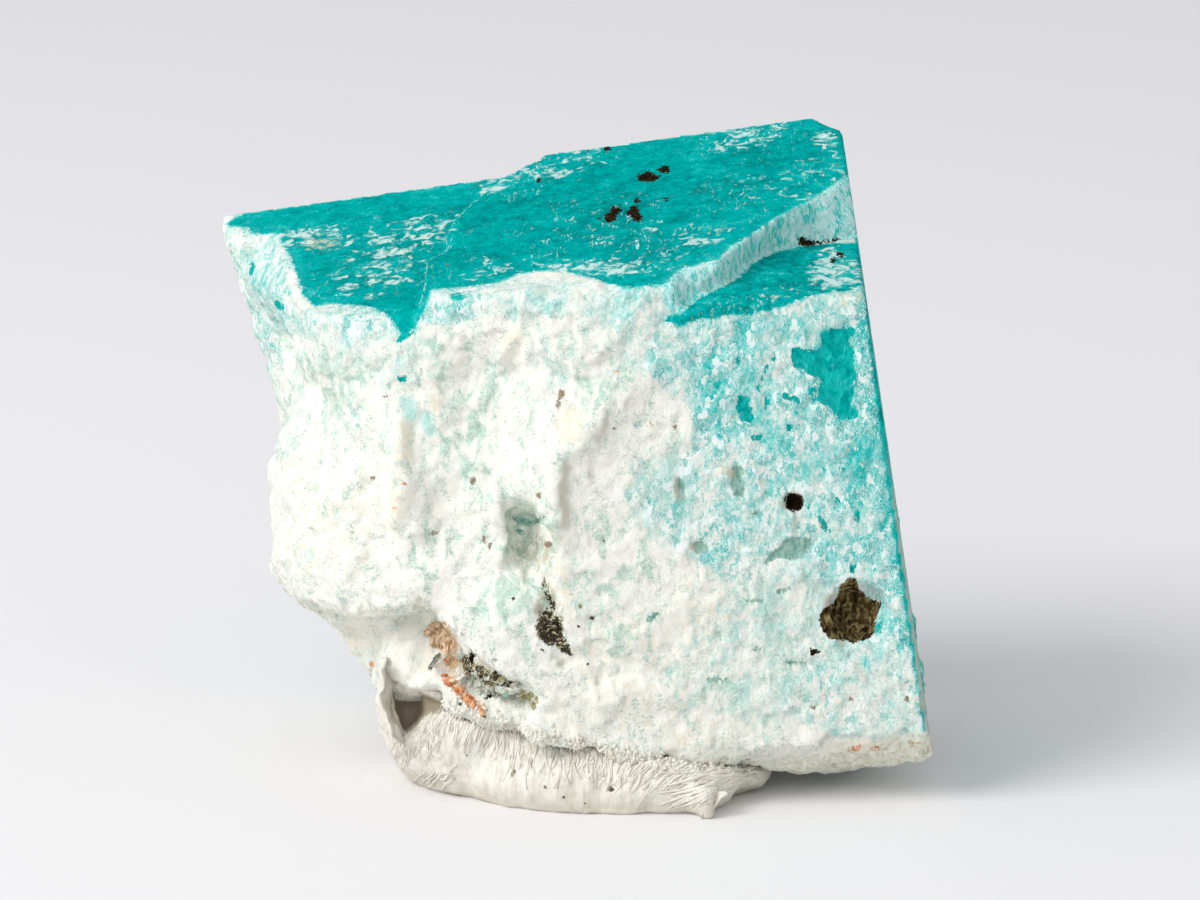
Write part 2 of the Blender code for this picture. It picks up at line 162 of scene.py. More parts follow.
TEAL_PATCHES = {
    "slab": [(821, 334), (829, 329), (843, 327), (854, 329), (853, 334), (850, 341), (853, 348), (854, 363),
        (857, 372), (855, 382), (856, 392), (863, 394), (863, 397), (853, 399), (852, 405), (859, 407),
        (860, 413), (854, 418), (839, 419), (835, 415), (833, 409), (825, 404), (819, 400), (817, 390),
        (820, 382), (815, 375), (806, 371), (799, 371), (793, 363), (791, 354), (793, 349), (798, 347),
        (805, 350), (812, 350), (819, 352), (821, 344)],
    "lobe": [(808, 384), (812, 385), (815, 392), (815, 401), (811, 402), (808, 394)],
    "patch": [(735, 398), (743, 394), (750, 398), (750, 407), (755, 417), (756, 426), (747, 422),
        (740, 419), (736, 409)],
    "round patch": [(714, 385), (717, 380), (722, 379), (724, 383), (720, 388), (715, 388)],
    "small patch": [(735, 355), (739, 360), (742, 367), (737, 364)],
    "slit": [(774, 357), (776, 359), (768, 368), (764, 377), (759, 390), (757, 389), (760, 378),
        (766, 367)],
    "box top": [(783, 393), (790, 396), (797, 398), (797, 402), (789, 400), (783, 397)],
    "box side": [(795, 399), (798, 400), (798, 414), (795, 414)],
    "box left": [(764, 394), (769, 395), (768, 414), (765, 413)],
    "box foot": [(786, 425), (797, 427), (797, 430), (787, 430)],
    "wide patch": [(752, 437), (760, 433), (767, 436), (765, 440), (755, 441)],
    "arrow": [(839, 461), (843, 465), (849, 468), (847, 473), (842, 473)],
    "dart": [(849, 480), (865, 476), (866, 478), (851, 482)],
    "teal dot": [(399, 376), (406, 376), (407, 382), (400, 383)],
    "low dart": [(856, 508), (860, 514), (860, 522), (855, 520)],
    "low hook": [(829, 499), (837, 499), (840, 506), (836, 508), (834, 503)],
    "right bead": [(819, 515), (825, 520), (831, 531), (827, 532), (821, 526)],
    "bead": [(806, 503), (811, 504), (811, 511), (806, 511)],
    "low slit": [(852, 561), (855, 562), (854, 572), (851, 571)],
    "pit side": [(877, 622), (883, 618), (881, 632), (875, 634)],
    "slit in the step": [(396, 342), (404, 333), (416, 327), (417, 331), (406, 340)],
    "shelf streak": [(450, 295), (462, 294), (466, 297), (458, 300), (448, 298)],
    "hole at the left": [(248, 268), (252, 263), (256, 266), (254, 274), (249, 275)],
    "second hole": [(274, 301), (280, 299), (284, 305), (281, 311), (276, 308)],
}
PALE_PATCHES = {
    "pale left": [(400, 396), (414, 398), (417, 408), (415, 421), (404, 419)],
    "pale middle": [(421, 411), (432, 418), (436, 434), (428, 436), (420, 426)],
    "edge band": [(232, 404), (246, 404), (244, 416), (233, 420)],
}
GREY_PATCHES_AND_LEDGE_SHADE = {
    "leaf": [(763, 561), (771, 553), (780, 545), (786, 539), (797, 536), (808, 538), (813, 545), (806, 552),
        (800, 559), (790, 561), (780, 558), (771, 562), (764, 565)],
    "post": [(732, 465), (741, 465), (742, 478), (745, 492), (742, 497), (734, 495), (730, 484)],
    "left post": [(676, 474), (681, 478), (685, 488), (685, 498), (680, 502), (676, 494), (675, 484)],
    "small leaf": [(690, 543), (700, 540), (708, 546), (706, 554), (695, 554)],
    "chip": [(751, 513), (760, 509), (761, 515), (752, 518)],
    # The pockets and the lower slits are painted shade: grey-green darkening in small recesses and under
    # small ledges, also sunk a little
    "pocket": [(505, 514), (514, 516), (530, 520), (546, 516), (545, 521), (530, 526), (518, 524)],
    "pocket 2": [(512, 527), (522, 530), (529, 535), (520, 535), (512, 531)],
    "lower slit": [(704, 678), (718, 677), (727, 678), (724, 682), (708, 682)],
    "lower slit 2": [(781, 661), (790, 660), (808, 663), (806, 666), (788, 665)],
    "lower slit 3": [(749, 648), (761, 647), (762, 651), (751, 652)],
    "lower slit 4": [(776, 590), (790, 586), (791, 590), (779, 594)],
    "lower slit 5": [(644, 620), (652, 615), (660, 608), (661, 613), (650, 622)],
    "lower slit 6": [(742, 598), (752, 600), (764, 597), (763, 602), (752, 605)],
}
FLECKS = {
    "fleck a": [(636, 176), (640, 174), (646, 171), (650, 170), (653, 174), (659, 175), (659, 180),
        (651, 182), (642, 182), (637, 179)],
    "fleck b": [(657, 169), (661, 166), (669, 166), (669, 172), (664, 174), (659, 172)],
    "fleck c": [(596, 222), (596, 218), (604, 219), (605, 213), (610, 212), (611, 206), (621, 206),
        (622, 211), (617, 214), (616, 220), (610, 223), (603, 222)],
    "fleck d": [(624, 214), (628, 210), (630, 206), (637, 205), (640, 213), (643, 217), (641, 222),
        (634, 221), (630, 216), (626, 216)],
    "fleck e": [(633, 200), (637, 198), (642, 200), (640, 203), (635, 203)],
    "fleck f": [(663, 199), (668, 198), (669, 201), (664, 202)],
    "fleck g": [(602, 146), (608, 145), (611, 150), (605, 152)],
    "fleck h": [(584, 150), (589, 149), (589, 152), (585, 152)],
    "fleck i": [(536, 179), (541, 178), (541, 183), (537, 183)],
    "crack": [(799, 246), (799, 238), (801, 235), (805, 239), (811, 240), (821, 241), (831, 239),
        (839, 237), (840, 240), (832, 243), (818, 244), (806, 247)],
    "notch spot": [(836, 252), (843, 251), (844, 256), (838, 257)],
    "notch spot 2": [(830, 258), (836, 258), (836, 263), (830, 263)],
    "small hole": [(785, 499), (789, 493), (796, 493), (802, 495), (803, 503), (801, 510), (794, 512),
        (787, 509), (784, 504)],
    "pit chip": [(809, 650), (814, 647), (821, 653), (811, 655)],
    "crevice": [(482, 694), (495, 693), (496, 697), (484, 699)],
    "grey crystal's edge": [(471, 650), (475, 655), (473, 665), (468, 668), (469, 658)],
    "bevel crack": [(861, 770), (872, 767), (886, 768), (884, 772), (872, 774), (863, 776)],
}
SPECKLED = {
    "cluster": [(539, 612), (547, 609), (554, 615), (561, 618), (564, 627), (562, 634), (568, 643),
        (572, 655), (563, 653), (556, 646), (546, 645), (540, 638), (536, 626)],
    "cluster tip": [(541, 583), (545, 579), (547, 586), (548, 594), (554, 602), (557, 612), (553, 612),
        (549, 603), (544, 594)],
    "crevice": [(458, 650), (470, 658), (484, 668), (502, 676), (514, 682), (500, 690), (484, 684),
        (468, 676), (460, 664)],
}
PEACH_PATCHES = {
    "upper": [(425, 629), (433, 620), (447, 622), (456, 636), (461, 656), (458, 671), (448, 670),
        (441, 652), (430, 644)],
    "lower": [(444, 670), (454, 674), (464, 686), (478, 700), (488, 708), (482, 714), (470, 706),
        (456, 694), (446, 682)],
}
# The pit: a brown lining, with near-black patches that are painted shade of the cavity
PIT = [
    (847, 579), (852, 577), (857, 580), (859, 588), (866, 597), (881, 602), (879, 612), (876, 620),
    (875, 630), (872, 636), (866, 640), (860, 641), (853, 644), (846, 640), (838, 640), (829, 639),
    (822, 630), (818, 620), (823, 608), (832, 604), (838, 597), (840, 586),
]
BROWN_DOTS = [
    (561, 394, 3.4, 4.2), (558, 404, 2.2, 5.0), (473, 481, 3.2, 4.0), (539, 495, 3.0, 3.0),
    (373, 478, 3.0, 2.6), (592, 618, 2.6, 2.6), (594, 425, 2.2, 2.2), (615, 428, 2.6, 1.6),
    (675, 427, 2.2, 2.2), (484, 539, 2.0, 3.4), (490, 546, 2.4, 3.0), (433, 533, 4.0, 1.8),
    (513, 599, 2.0, 2.0), (813, 708, 3.4, 2.8), (851, 699, 2.8, 3.6), (907, 699, 3.0, 3.0),
    (509, 650, 1.6, 4.0), (548, 544, 4.0, 3.4), (421, 369, 1.8, 1.8), (387, 396, 3.0, 2.0),
    (454, 536, 1.8, 1.4), (604, 541, 2.2, 2.2), (828, 396, 1.6, 1.6), (447, 265, 1.6, 1.6),
    (838, 165, 1.6, 1.6),
]

# Soft zones: x, y, half width, half height, then the turn in degrees if it has one, and the strength
TEAL_ZONES = [
    (880, 350, 60, 90, 0.58), (890, 480, 60, 110, 0.60), (905, 610, 60, 100, 0.48),
    (840, 300, 60, 30, 0.40), (790, 340, 70, 50, 0.50), (735, 400, 50, 60, 0.50), (800, 440, 80, 70, 0.44),
    (700, 350, 60, 60, 0.40), (770, 520, 100, 70, 0.32), (690, 490, 70, 70, 0.26), (640, 330, 60, 50, 0.20),
    (860, 560, 50, 60, 0.56), (800, 610, 110, 70, 0.18), (740, 680, 90, 60, 0.17), (850, 680, 80, 60, 0.24),
    (900, 700, 50, 50, 0.20), (440, 300, 50, 26, 0.40), (510, 296, 60, 26, 0.20), (600, 298, 70, 20, 0.22),
    (350, 325, 60, 26, 0.28), (330, 380, 50, 60, 0.14), (255, 255, 40, 40, 0.30), (262, 320, 34, 70, 0.30),
    (285, 400, 24, 60, 0.14), (470, 430, 100, 90, 0.07), (430, 560, 80, 70, 0.02), (560, 370, 90, 60, 0.08),
    (515, 598, 50, 30, 0.08), (640, 430, 60, 60, 0.07), (600, 560, 80, 60, 0.09), (660, 620, 80, 60, 0.07),
    (600, 700, 90, 50, 0.02), (400, 360, 50, 40, 0.16), (330, 530, 60, 80, 0.02), (450, 680, 90, 50, 0.02),
    (700, 740, 90, 30, 0.04),
]
BLOTCHY_TOP = [
    (300, 238, 90, 16, -8, 0.9), (385, 258, 66, 48, 0.75), (350, 286, 70, 26, -6, 0.6),
    (560, 165, 90, 22, -14, 0.7), (500, 185, 40, 12, -14, 0.8), (745, 135, 60, 22, -10, 0.8),
    (800, 180, 80, 30, -20, 0.55), (620, 235, 70, 26, 0.40), (700, 240, 60, 24, -10, 0.45),
    (600, 268, 120, 16, 0.75), (826, 140, 20, 18, 0.8), (425, 230, 50, 24, -20, 0.8),
    (835, 272, 44, 34, 0.95), (770, 300, 60, 18, -20, 0.5), (480, 270, 60, 20, 0.5),
]
MILKY_ZONES = [
    (515, 596, 60, 36, 0.9), (440, 560, 60, 60, 0.35), (540, 640, 60, 50, 0.35), (330, 380, 50, 60, 0.5),
    (470, 430, 90, 80, 0.35), (620, 380, 70, 50, 0.35), (680, 490, 60, 60, 0.6), (600, 620, 90, 70, 0.4),
    (330, 500, 40, 40, 0.3), (640, 540, 70, 50, 0.45), (800, 620, 120, 80, 0.4), (530, 530, 50, 40, 0.6),
    (700, 570, 80, 50, 0.45), (440, 350, 50, 40, 0.45), (760, 700, 120, 50, 0.35),
]
STROKE_ZONES = [
    (620, 235, 120, 50, 1.0), (745, 135, 80, 30, -10, 1.0), (760, 190, 90, 40, -20, 0.7),
    (560, 262, 90, 24, 1.0), (400, 250, 130, 60, 0.35), (520, 180, 60, 26, -14, 0.8),
    (760, 300, 90, 24, -20, 0.7),
]
WARM_ZONES = [
    (404, 440, 14, 50, 4, 0.7), (398, 505, 16, 40, 0.7), (572, 424, 22, 30, 15, 0.9),
    (436, 402, 8, 34, 0.8), (700, 610, 50, 60, 0.35), (650, 640, 60, 50, 0.3), (250, 430, 26, 50, 0.5),
    (310, 470, 40, 60, 0.25), (590, 660, 60, 50, 0.3), (700, 726, 60, 26, 0.4), (850, 300, 26, 12, 0.7),
    (835, 700, 40, 30, 0.3), (545, 545, 30, 30, 0.6), (510, 342, 12, 24, 30, 0.8),
    (730, 474, 40, 16, -20, 0.4), (790, 496, 12, 8, 0.8), (320, 245, 26, 8, 0.7), (852, 745, 30, 12, 0.6),
    (700, 730, 100, 30, 0.3), (560, 590, 24, 40, -20, 0.5), (440, 660, 26, 40, -20, 0.6),
    (330, 520, 70, 90, 0.35), (350, 630, 50, 30, 20, 0.45), (620, 700, 120, 50, 0.35),
]
ORANGE_SPOTS = [
    (446, 680, 7, 7, 1.0), (459, 692, 10, 6, 40, 1.2), (471, 702, 11, 7, 40, 1.2),
    (483, 711, 7, 5, 30, 1.2), (501, 735, 5, 8, 0.9), (372, 664, 5, 5, 1.0), (855, 748, 12, 6, -10, 0.7),
    (875, 749, 8, 7, 0.7), (917, 743, 10, 4, 0.5), (788, 498, 5, 5, 0.8), (403, 483, 4, 4, 0.9),
    (394, 508, 4, 4, 0.8), (649, 423, 4, 4, 0.8), (616, 372, 4, 3, 0.7), (582, 456, 4, 3, 0.7),
]
# Painted shade: brownish grey darkening under the lower left ledge, in the hollows and along the crevice
PAINTED_SHADE_ZONES = [
    (535, 550, 30, 28, 0.5), (312, 608, 30, 12, 0.3), (372, 612, 44, 12, 8, 0.35), (420, 605, 14, 14, 0.5),
    (450, 640, 28, 30, 40, 0.4), (475, 672, 44, 22, 28, 0.7), (505, 690, 44, 16, 20, 0.6),
    (552, 616, 20, 40, -20, 0.45),
]

# Where the crystal's foot meets the putty, its lower left corner, and the teal line by its right edge
CRYSTAL_FOOT = [
    (376, 658), (391, 676), (409, 683), (457, 708), (510, 727), (560, 745), (640, 760), (760, 771),
]
LOWER_LEFT_EDGE = (415, 660, 44, 38)
RIGHT_EDGE_LINE = [
    (844, 130), (855, 205), (863, 262), (870, 320), (882, 420), (892, 500), (905, 590), (916, 660),
    (927, 733),
]

# Relief lines: photo points, half width in mm, height in mm
RIDGES = [
    ([(664, 360), (630, 387), (600, 417), (565, 459), (556, 479), (549, 560)], 1.7, 0.825),
    ([(400, 422), (400, 468), (407, 484), (397, 520)], 1.0, 0.75),
    ([(599, 284), (560, 282), (526, 298), (520, 330), (503, 355)], 0.7, 0.525),
    ([(500, 480), (497, 520), (499, 560)], 0.6, 0.675),
    ([(296, 440), (300, 480), (296, 530)], 1.4, 0.525),
    ([(340, 430), (352, 470), (344, 520), (352, 560)], 1.3, 0.525),
    ([(620, 640), (700, 600), (760, 610)], 1.6, 0.45),
    ([(600, 700), (680, 690), (760, 700), (830, 690)], 1.8, 0.45),
]
# Relief hollows: photo outline, depth in mm
HOLLOWS = [
    ([(505, 508), (530, 514), (560, 506), (558, 540), (546, 572), (528, 574), (512, 545)], 0.35),
    ([(541, 580), (552, 590), (562, 618), (570, 652), (558, 646), (540, 636), (538, 610)], 0.5),
    ([(424, 624), (446, 622), (462, 640), (486, 668), (530, 682), (544, 700), (520, 704), (486, 702),
      (462, 690), (440, 664), (426, 644)], 0.7),
]


# Meshes

def apply_modifiers(obj):
    bpy.context.view_layer.update()
    evaluated = obj.evaluated_get(bpy.context.evaluated_depsgraph_get())
    mesh = bpy.data.meshes.new_from_object(evaluated)
    old = obj.data
    obj.modifiers.clear()
    obj.data = mesh
    bpy.data.meshes.remove(old)
    mesh.name = obj.name


def add_piece(name, mesh):
    obj = bpy.data.objects.new(name, mesh)
    bpy.context.scene.collection.objects.link(obj)
    return obj


def piece_from(bm, name):
    mesh = bpy.data.meshes.new(name)
    bm.to_mesh(mesh)
    bm.free()
    return add_piece(name, mesh)


def paint(mesh, fields):
    """Lays fields of numbers on a mesh's points, for its material to read."""
    for name, values in fields.items():
        layer = mesh.attributes.new(name, "FLOAT", "POINT")
        layer.data.foreach_set("value", np.clip(values, -2, 2).astype(np.float32))


def even_skin(obj, voxel):
    modifier = obj.modifiers.new("even skin", "REMESH")
    modifier.mode = "VOXEL"
    modifier.voxel_size = voxel * MM
    apply_modifiers(obj)


def dense_copy(node, name, voxel):
    """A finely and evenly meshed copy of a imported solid."""
    obj = add_piece(name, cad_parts[node].data.copy())
    even_skin(obj, voxel)
    return obj


def points_of(mesh):
    points = np.empty(len(mesh.vertices) * 3)
    mesh.vertices.foreach_get("co", points)
    return points.reshape(-1, 3)


def normals_of(mesh):
    normals = np.empty(len(mesh.vertices) * 3, np.float32)
    mesh.vertex_normals.foreach_get("vector", normals)
    return normals.reshape(-1, 3).astype(float)


def set_points(mesh, points):
    mesh.vertices.foreach_set("co", points.ravel())
    mesh.update()


def edges_of(mesh):
    edges = np.empty(len(mesh.edges) * 2, np.int32)
    mesh.edges.foreach_get("vertices", edges)
    return edges.reshape(-1, 2)


def smooth_points(points, edges, weight, rounds):
    """Moves each point towards the middle of its neighbours, by its weight."""
    count = np.bincount(edges.ravel(), minlength=len(points))[:, None]
    for _ in range(rounds):
        total = np.zeros_like(points)
        np.add.at(total, edges[:, 0], points[edges[:, 1]])
        np.add.at(total, edges[:, 1], points[edges[:, 0]])
        points = points + (total / count - points) * weight[:, None]
    return points


def lumps(points, size, octaves, seed):
    """Natural unevenness about -1 to 1 whose largest lumps are `size` mm across."""
    shift = Vector((seed * 3.7, seed * 1.3, seed * 7.1))
    scale = 1.0 / (size * MM)
    return np.array([
        noise.fractal(Vector(point) * scale + shift, 1.0, 2.1, octaves, noise_basis="PERLIN_ORIGINAL")
        for point in points])


def tree_of(obj):
    corners = [vertex.co for vertex in obj.data.vertices]
    return BVHTree.FromPolygons(corners, [tuple(polygon.vertices) for polygon in obj.data.polygons])


def facet_area(node, points):
    """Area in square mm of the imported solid's facet nearest to each point."""
    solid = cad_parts[node]
    tree = tree_of(solid)
    areas = [polygon.area / MM / MM for polygon in solid.data.polygons]
    return np.array([areas[tree.find_nearest(Vector(point))[2]] for point in points])


def crystal_frame(points):
    """Points in the crystal's own frame, in mm."""
    turn = np.array(CRYSTAL_TURN.to_matrix())
    return (points - np.array(CRYSTAL_ORIGIN)) @ turn / MM


def waves(local, size):
    """Slow variation over the crystal, about -1 to 1, from a few waves."""
    x, y, z = (local / size).T
    first = np.sin(1.7 * x + 0.9 * z + 1.0)
    second = np.sin(1.1 * z - 1.3 * x + 2.0 * y)
    third = np.sin(2.3 * y + 1.9 * z)
    return (first + second + third) / 3


def blocks(local, size, seed):
    """A level of -0.5 to 0.5 for each block of a broken grid: the small steps that feldspar cleaves in."""
    bent = local + 0.35 * np.stack([waves(local + shift, 0.8) for shift in (0.0, 5.0, 9.0)], axis=1)
    cells = np.floor(bent / size + seed * 0.37)
    mixed = np.abs(np.sin(cells @ np.array((12.9898, 78.233, 37.719)) + seed)) * 43758.5453
    return np.modf(mixed)[0] - 0.5


def strongest(photo, outlines):
    depth = np.full(len(photo), -2.0)
    for outline in outlines.values():
        depth = np.maximum(depth, polygon_depth(photo, outline))
    return depth


def zone_peak(photo, zones):
    """The strength of the strongest zone at each place."""
    total = np.zeros(len(photo))
    for *shape, strength in zones:
        total = np.maximum(total, strength * oval(photo, *shape))
    return total


def zone_blend(photo, zones, rest):
    """The zones' strengths, blended where they overlap, and `rest` outside them."""
    weight = np.full(len(photo), 0.02)
    total = weight * rest
    for *shape, strength in zones:
        share = oval(photo, *shape)
        weight = weight + share
        total = total + share * strength
    return total / weight


# Crystal

# Relief of each kind of side: how many mm of each unevenness
RELIEF = {
    "rough": {"coarse": 0.30, "fine": 0.10, "crust": 0.18, "large steps": 0.26, "small steps": 0.15},
    "flat front": {"fine": 0.10, "crust": 0.10, "large steps": 0.12, "small steps": 0.18},
    "other flat": {"fine": 0.015, "small steps": 0.02},
}
RISER_FIBRE_HEIGHT = 0.16
SIDE_FIBRE_HEIGHT = 0.10
TEAL_PATCH_DEPTH = 0.14
GREY_PATCH_DEPTH = 0.24
CRACK_DEPTH = 0.4
SMALL_HOLE_DEPTH = 0.2
# How far the lower left corner and the foot reach over the putty, in mm
CORNER_REACH = 1.6
FOOT_REACH = 0.4


def crystal_relief(points, normals, photo, rough):
    """How far each point stands out along its normal, in mm."""
    local = crystal_frame(points)
    facing = normals @ np.array(CRYSTAL_TURN.to_matrix())
    unevenness = {
        "coarse": lumps(points, 2.6, 4, 1),
        "fine": lumps(points, 0.95, 3, 2),
        "crust": 0.5 - np.abs(lumps(points, 1.7, 3, 3)),
        "large steps": blocks(local, np.array((1.9, 1.9, 1.5)), 1),
        "small steps": blocks(local, np.array((0.8, 0.8, 0.7)), 2),
    }
    flat_front = (1 - rough) * ease(0.5, 0.8, -facing[:, 1])
    share = {"rough": rough, "flat front": flat_front, "other flat": (1 - rough) * (1 - flat_front)}
    height = 0
    for kind, amounts in RELIEF.items():
        height = height + share[kind] * sum(amount * unevenness[name] for name, amount in amounts.items())
    fibres = lumps(local * np.array((1, 1, 0.4)) * MM, 0.7, 3, 5)
    height += (1 - rough) * ease(0.5, 0.8, -facing[:, 0]) * SIDE_FIBRE_HEIGHT * fibres
    seen = ease(0.15, 0.4, -(normals @ np.array(FORWARD)))
    riser = ease(-0.1, 0.1, polygon_depth(photo, RISER)) * ease(0.9, 0.75, facing[:, 2])
    return height + seen * (RISER_FIBRE_HEIGHT * riser * fibres + placed_relief(photo, rough))


def placed_relief(photo, rough):
    """The ridges, hollows, sunken patches and cracks that the photo shows, in mm."""
    height = np.zeros(len(photo))
    for line, width, rise in RIDGES:
        height += rise * ease(width, 0.0, line_gap(photo, line)) * (0.35 + 0.65 * rough)
    for outline, fall in HOLLOWS:
        height -= fall * ease(-0.2, 0.6, polygon_depth(photo, outline))
    for outline in TEAL_PATCHES.values():
        height -= TEAL_PATCH_DEPTH * ease(-0.08, 0.2, polygon_depth(photo, outline))
    for outline in GREY_PATCHES_AND_LEDGE_SHADE.values():
        height -= GREY_PATCH_DEPTH * ease(-0.1, 0.25, polygon_depth(photo, outline))
    height -= CRACK_DEPTH * ease(-0.1, 0.5, polygon_depth(photo, FLECKS["crack"]))
    height -= SMALL_HOLE_DEPTH * ease(-0.1, 0.3, polygon_depth(photo, FLECKS["small hole"]))
    return height


def thin_hidden_sides(obj, weights):
    """Thins the mesh where the weight is high and keeps it dense elsewhere."""
    group = obj.vertex_groups.new(name="thin")
    for index in np.nonzero(weights > 0.01)[0]:
        group.add([int(index)], float(weights[index]), "REPLACE")
    triangles = sum(len(polygon.vertices) - 2 for polygon in obj.data.polygons)
    modifier = obj.modifiers.new("thin hidden sides", "DECIMATE")
    modifier.ratio = min(1.0, CRYSTAL_TRIANGLES / triangles)
    modifier.vertex_group = "thin"
    modifier.vertex_group_factor = 1.0
    apply_modifiers(obj)
    obj.vertex_groups.clear()


def lower_edge_moves(photo, normals):
    """How far the lower front edge reaches across and up, in mm: down and to the left over the putty."""
    front = ease(-0.1, 0.3, -normals[:, 1])
    corner = oval(photo, *LOWER_LEFT_EDGE) * front
    foot = ease(1.4, 0.2, line_gap(photo, CRYSTAL_FOOT)) * front * (1 - corner)
    return -CORNER_REACH * corner, -CORNER_REACH * corner - FOOT_REACH * foot


def make_crystal():
    obj = dense_copy("amazonite_crystal", "amazonite_surface", CRYSTAL_VOXEL)
    points = points_of(obj.data)
    edges = edges_of(obj.data)
    rough = ease(FLAT_FACET_AREA, ROUGH_FACET_AREA, facet_area("amazonite_crystal", points))
    rough = smooth_points(rough[:, None], edges, np.full(len(points), 0.5), 4)[:, 0]
    points = smooth_points(points, edges, rough * 0.6, 8)
    set_points(obj.data, points)
    normals = normals_of(obj.data)
    photo = to_photo(points)
    points = points + normals * (crystal_relief(points, normals, photo, rough) * MM)[:, None]
    across, up = lower_edge_moves(photo, normals)
    points = points + np.array(RIGHT) * (across * MM)[:, None] + np.array(UP) * (up * MM)[:, None]
    set_points(obj.data, points)
    hidden = ease(-0.05, -0.35, -(normals @ np.array(FORWARD)))
    thin_hidden_sides(obj, hidden)
    paint_crystal(obj)
    obj.data.shade_smooth()
    return obj


def crystal_sides(facing):
    """How far each point belongs to each side of the crystal, 0 to 1."""
    x, y, z = facing.T
    return {"top": ease(0.6, 0.85, z), "back": ease(0.3, 0.8, y), "right": ease(0.5, 0.9, x),
            "left": ease(0.3, 0.8, -x), "down": ease(0.35, 0.8, -z)}


def seen_tone(photo, local):
    """Tone of the sides that the photo shows, from 0, white, to 1, deep teal."""
    front = zone_blend(photo, TEAL_ZONES, 0.04)
    on_plate = polygon_depth(photo, TOP_TEAL)
    plate = 1.05 - 0.12 * ease(2.4, 0.2, on_plate) - 0.05 * waves(local, 4.0)
    tone = front + (plate - front) * ease(-0.12, 0.12, on_plate)
    tone = tone + (0.60 - tone) * ease(-0.3, 0.3, polygon_depth(photo, RISER))
    tone = np.maximum(tone, 1.02 * ease(-0.15, 0.1, polygon_depth(photo, NOTCH_FLOOR)))
    return tone


def hidden_tone(local, side):
    """Tone of the sides that the photo hides: teal plates at the back and right, and a paler left."""
    tone = (0.88 + 0.34 * waves(local, 7.0)) * side["back"]
    tone += (0.86 + 0.26 * waves(local, 6.0)) * side["right"]
    tone += (0.12 + 0.25 * ease(4, 12, local[:, 2])) * side["left"]
    total = side["back"] + side["right"] + side["left"]
    tone = np.where(total > 0.05, tone / np.maximum(total, 0.05), 0.25)
    return tone * (1 - side["down"]) + 0.12 * side["down"]


def rim_field(photo, local, facing_right, right, seen):
    """The thin matt strip at the front of the right side, which the photo shows past the teal edge."""
    right_front = np.percentile(local[right > 0.5, 1], 2)
    sliver = [(x + 2, y) for x, y in RIGHT_EDGE_LINE] + [(1000, 740), (1000, 130)]
    strip = seen * ease(0.0, 0.12, polygon_depth(photo, sliver))
    strip = np.maximum(ease(0.35, 0.65, facing_right), strip)
    return strip * ease(right_front + 1.8, right_front + 0.8, local[:, 1])


def dot_field(photo):
    """How deep each point lies in the nearest brown dot, in mm."""
    depth = np.full(len(photo), -2.0)
    for x, y, half_x, half_y in BROWN_DOTS:
        reach = np.hypot((photo[:, 0] - x) / half_x, (photo[:, 1] - y) / half_y)
        depth = np.maximum(depth, (1 - reach) * min(half_x, half_y) * MM_PER_PIXEL)
    return depth


def paint_crystal(obj):
    """Lays the colour fields on the mesh: where it is teal, white, dark, grey, warm or rusty, and where shade
    is painted in recesses, under ledges and in the pit.
    """
    points = points_of(obj.data)
    normals = normals_of(obj.data)
    local = crystal_frame(points)
    photo = to_photo(points)
    facing = normals @ np.array(CRYSTAL_TURN.to_matrix())
    side = crystal_sides(facing)
    seen = ease(0.05, 0.2, -(normals @ np.array(FORWARD)))
    hidden = 1 - seen
    on_plate = polygon_depth(photo, TOP_TEAL)
    on_notch = polygon_depth(photo, NOTCH_FLOOR)
    tone = seen_tone(photo, local) * seen + hidden_tone(local, side) * hidden
    edge_line = ease(0.55, 0.15, line_gap(photo, RIGHT_EDGE_LINE))
    plate_blotches = np.where((on_plate > -0.3) | (on_notch > -0.3), seen * zone_peak(photo, BLOTCHY_TOP), 0)
    hidden_blotches = hidden * (1 - side["down"]) * 0.7 * ease(-0.1, 0.5, waves(local, 5.0))
    fields = {
        "tone": np.maximum(tone, seen * edge_line * 0.95),
        "top": side["top"] * np.where(on_plate > 0, 1, 0.3),
        "blotch": plate_blotches + hidden_blotches,
        "milky": seen * zone_peak(photo, MILKY_ZONES) + hidden * 0.35,
        "riser": seen * ease(-0.3, 0.3, polygon_depth(photo, RISER)),
        "rim": rim_field(photo, local, facing[:, 0], side["right"], seen),
        "dot": np.where(seen > 0.3, dot_field(photo), -2.0),
        "warm": seen * zone_peak(photo, WARM_ZONES) + hidden * 0.3 * side["left"],
        "orange": seen * zone_peak(photo, ORANGE_SPOTS),
        # painted shade in recesses and under ledges
        "shade": seen * zone_peak(photo, PAINTED_SHADE_ZONES),
        "stroke": seen * zone_peak(photo, STROKE_ZONES) + hidden * 0.7,
        "bevel": seen * ease(-0.1, 0.1, polygon_depth(photo, BEVEL)),
        "pit": np.where(local[:, 1] < 0, polygon_depth(photo, PIT), -2.0),
    }
    for name, outlines in (("patch", TEAL_PATCHES), ("pale", PALE_PATCHES), ("grey", GREY_PATCHES_AND_LEDGE_SHADE),
                           ("dark", FLECKS), ("speckled", SPECKLED), ("peach", PEACH_PATCHES)):
        fields[name] = np.where(seen > 0.3, strongest(photo, outlines), -2.0)
    paint(obj.data, fields)


# Small crystals of the crevice

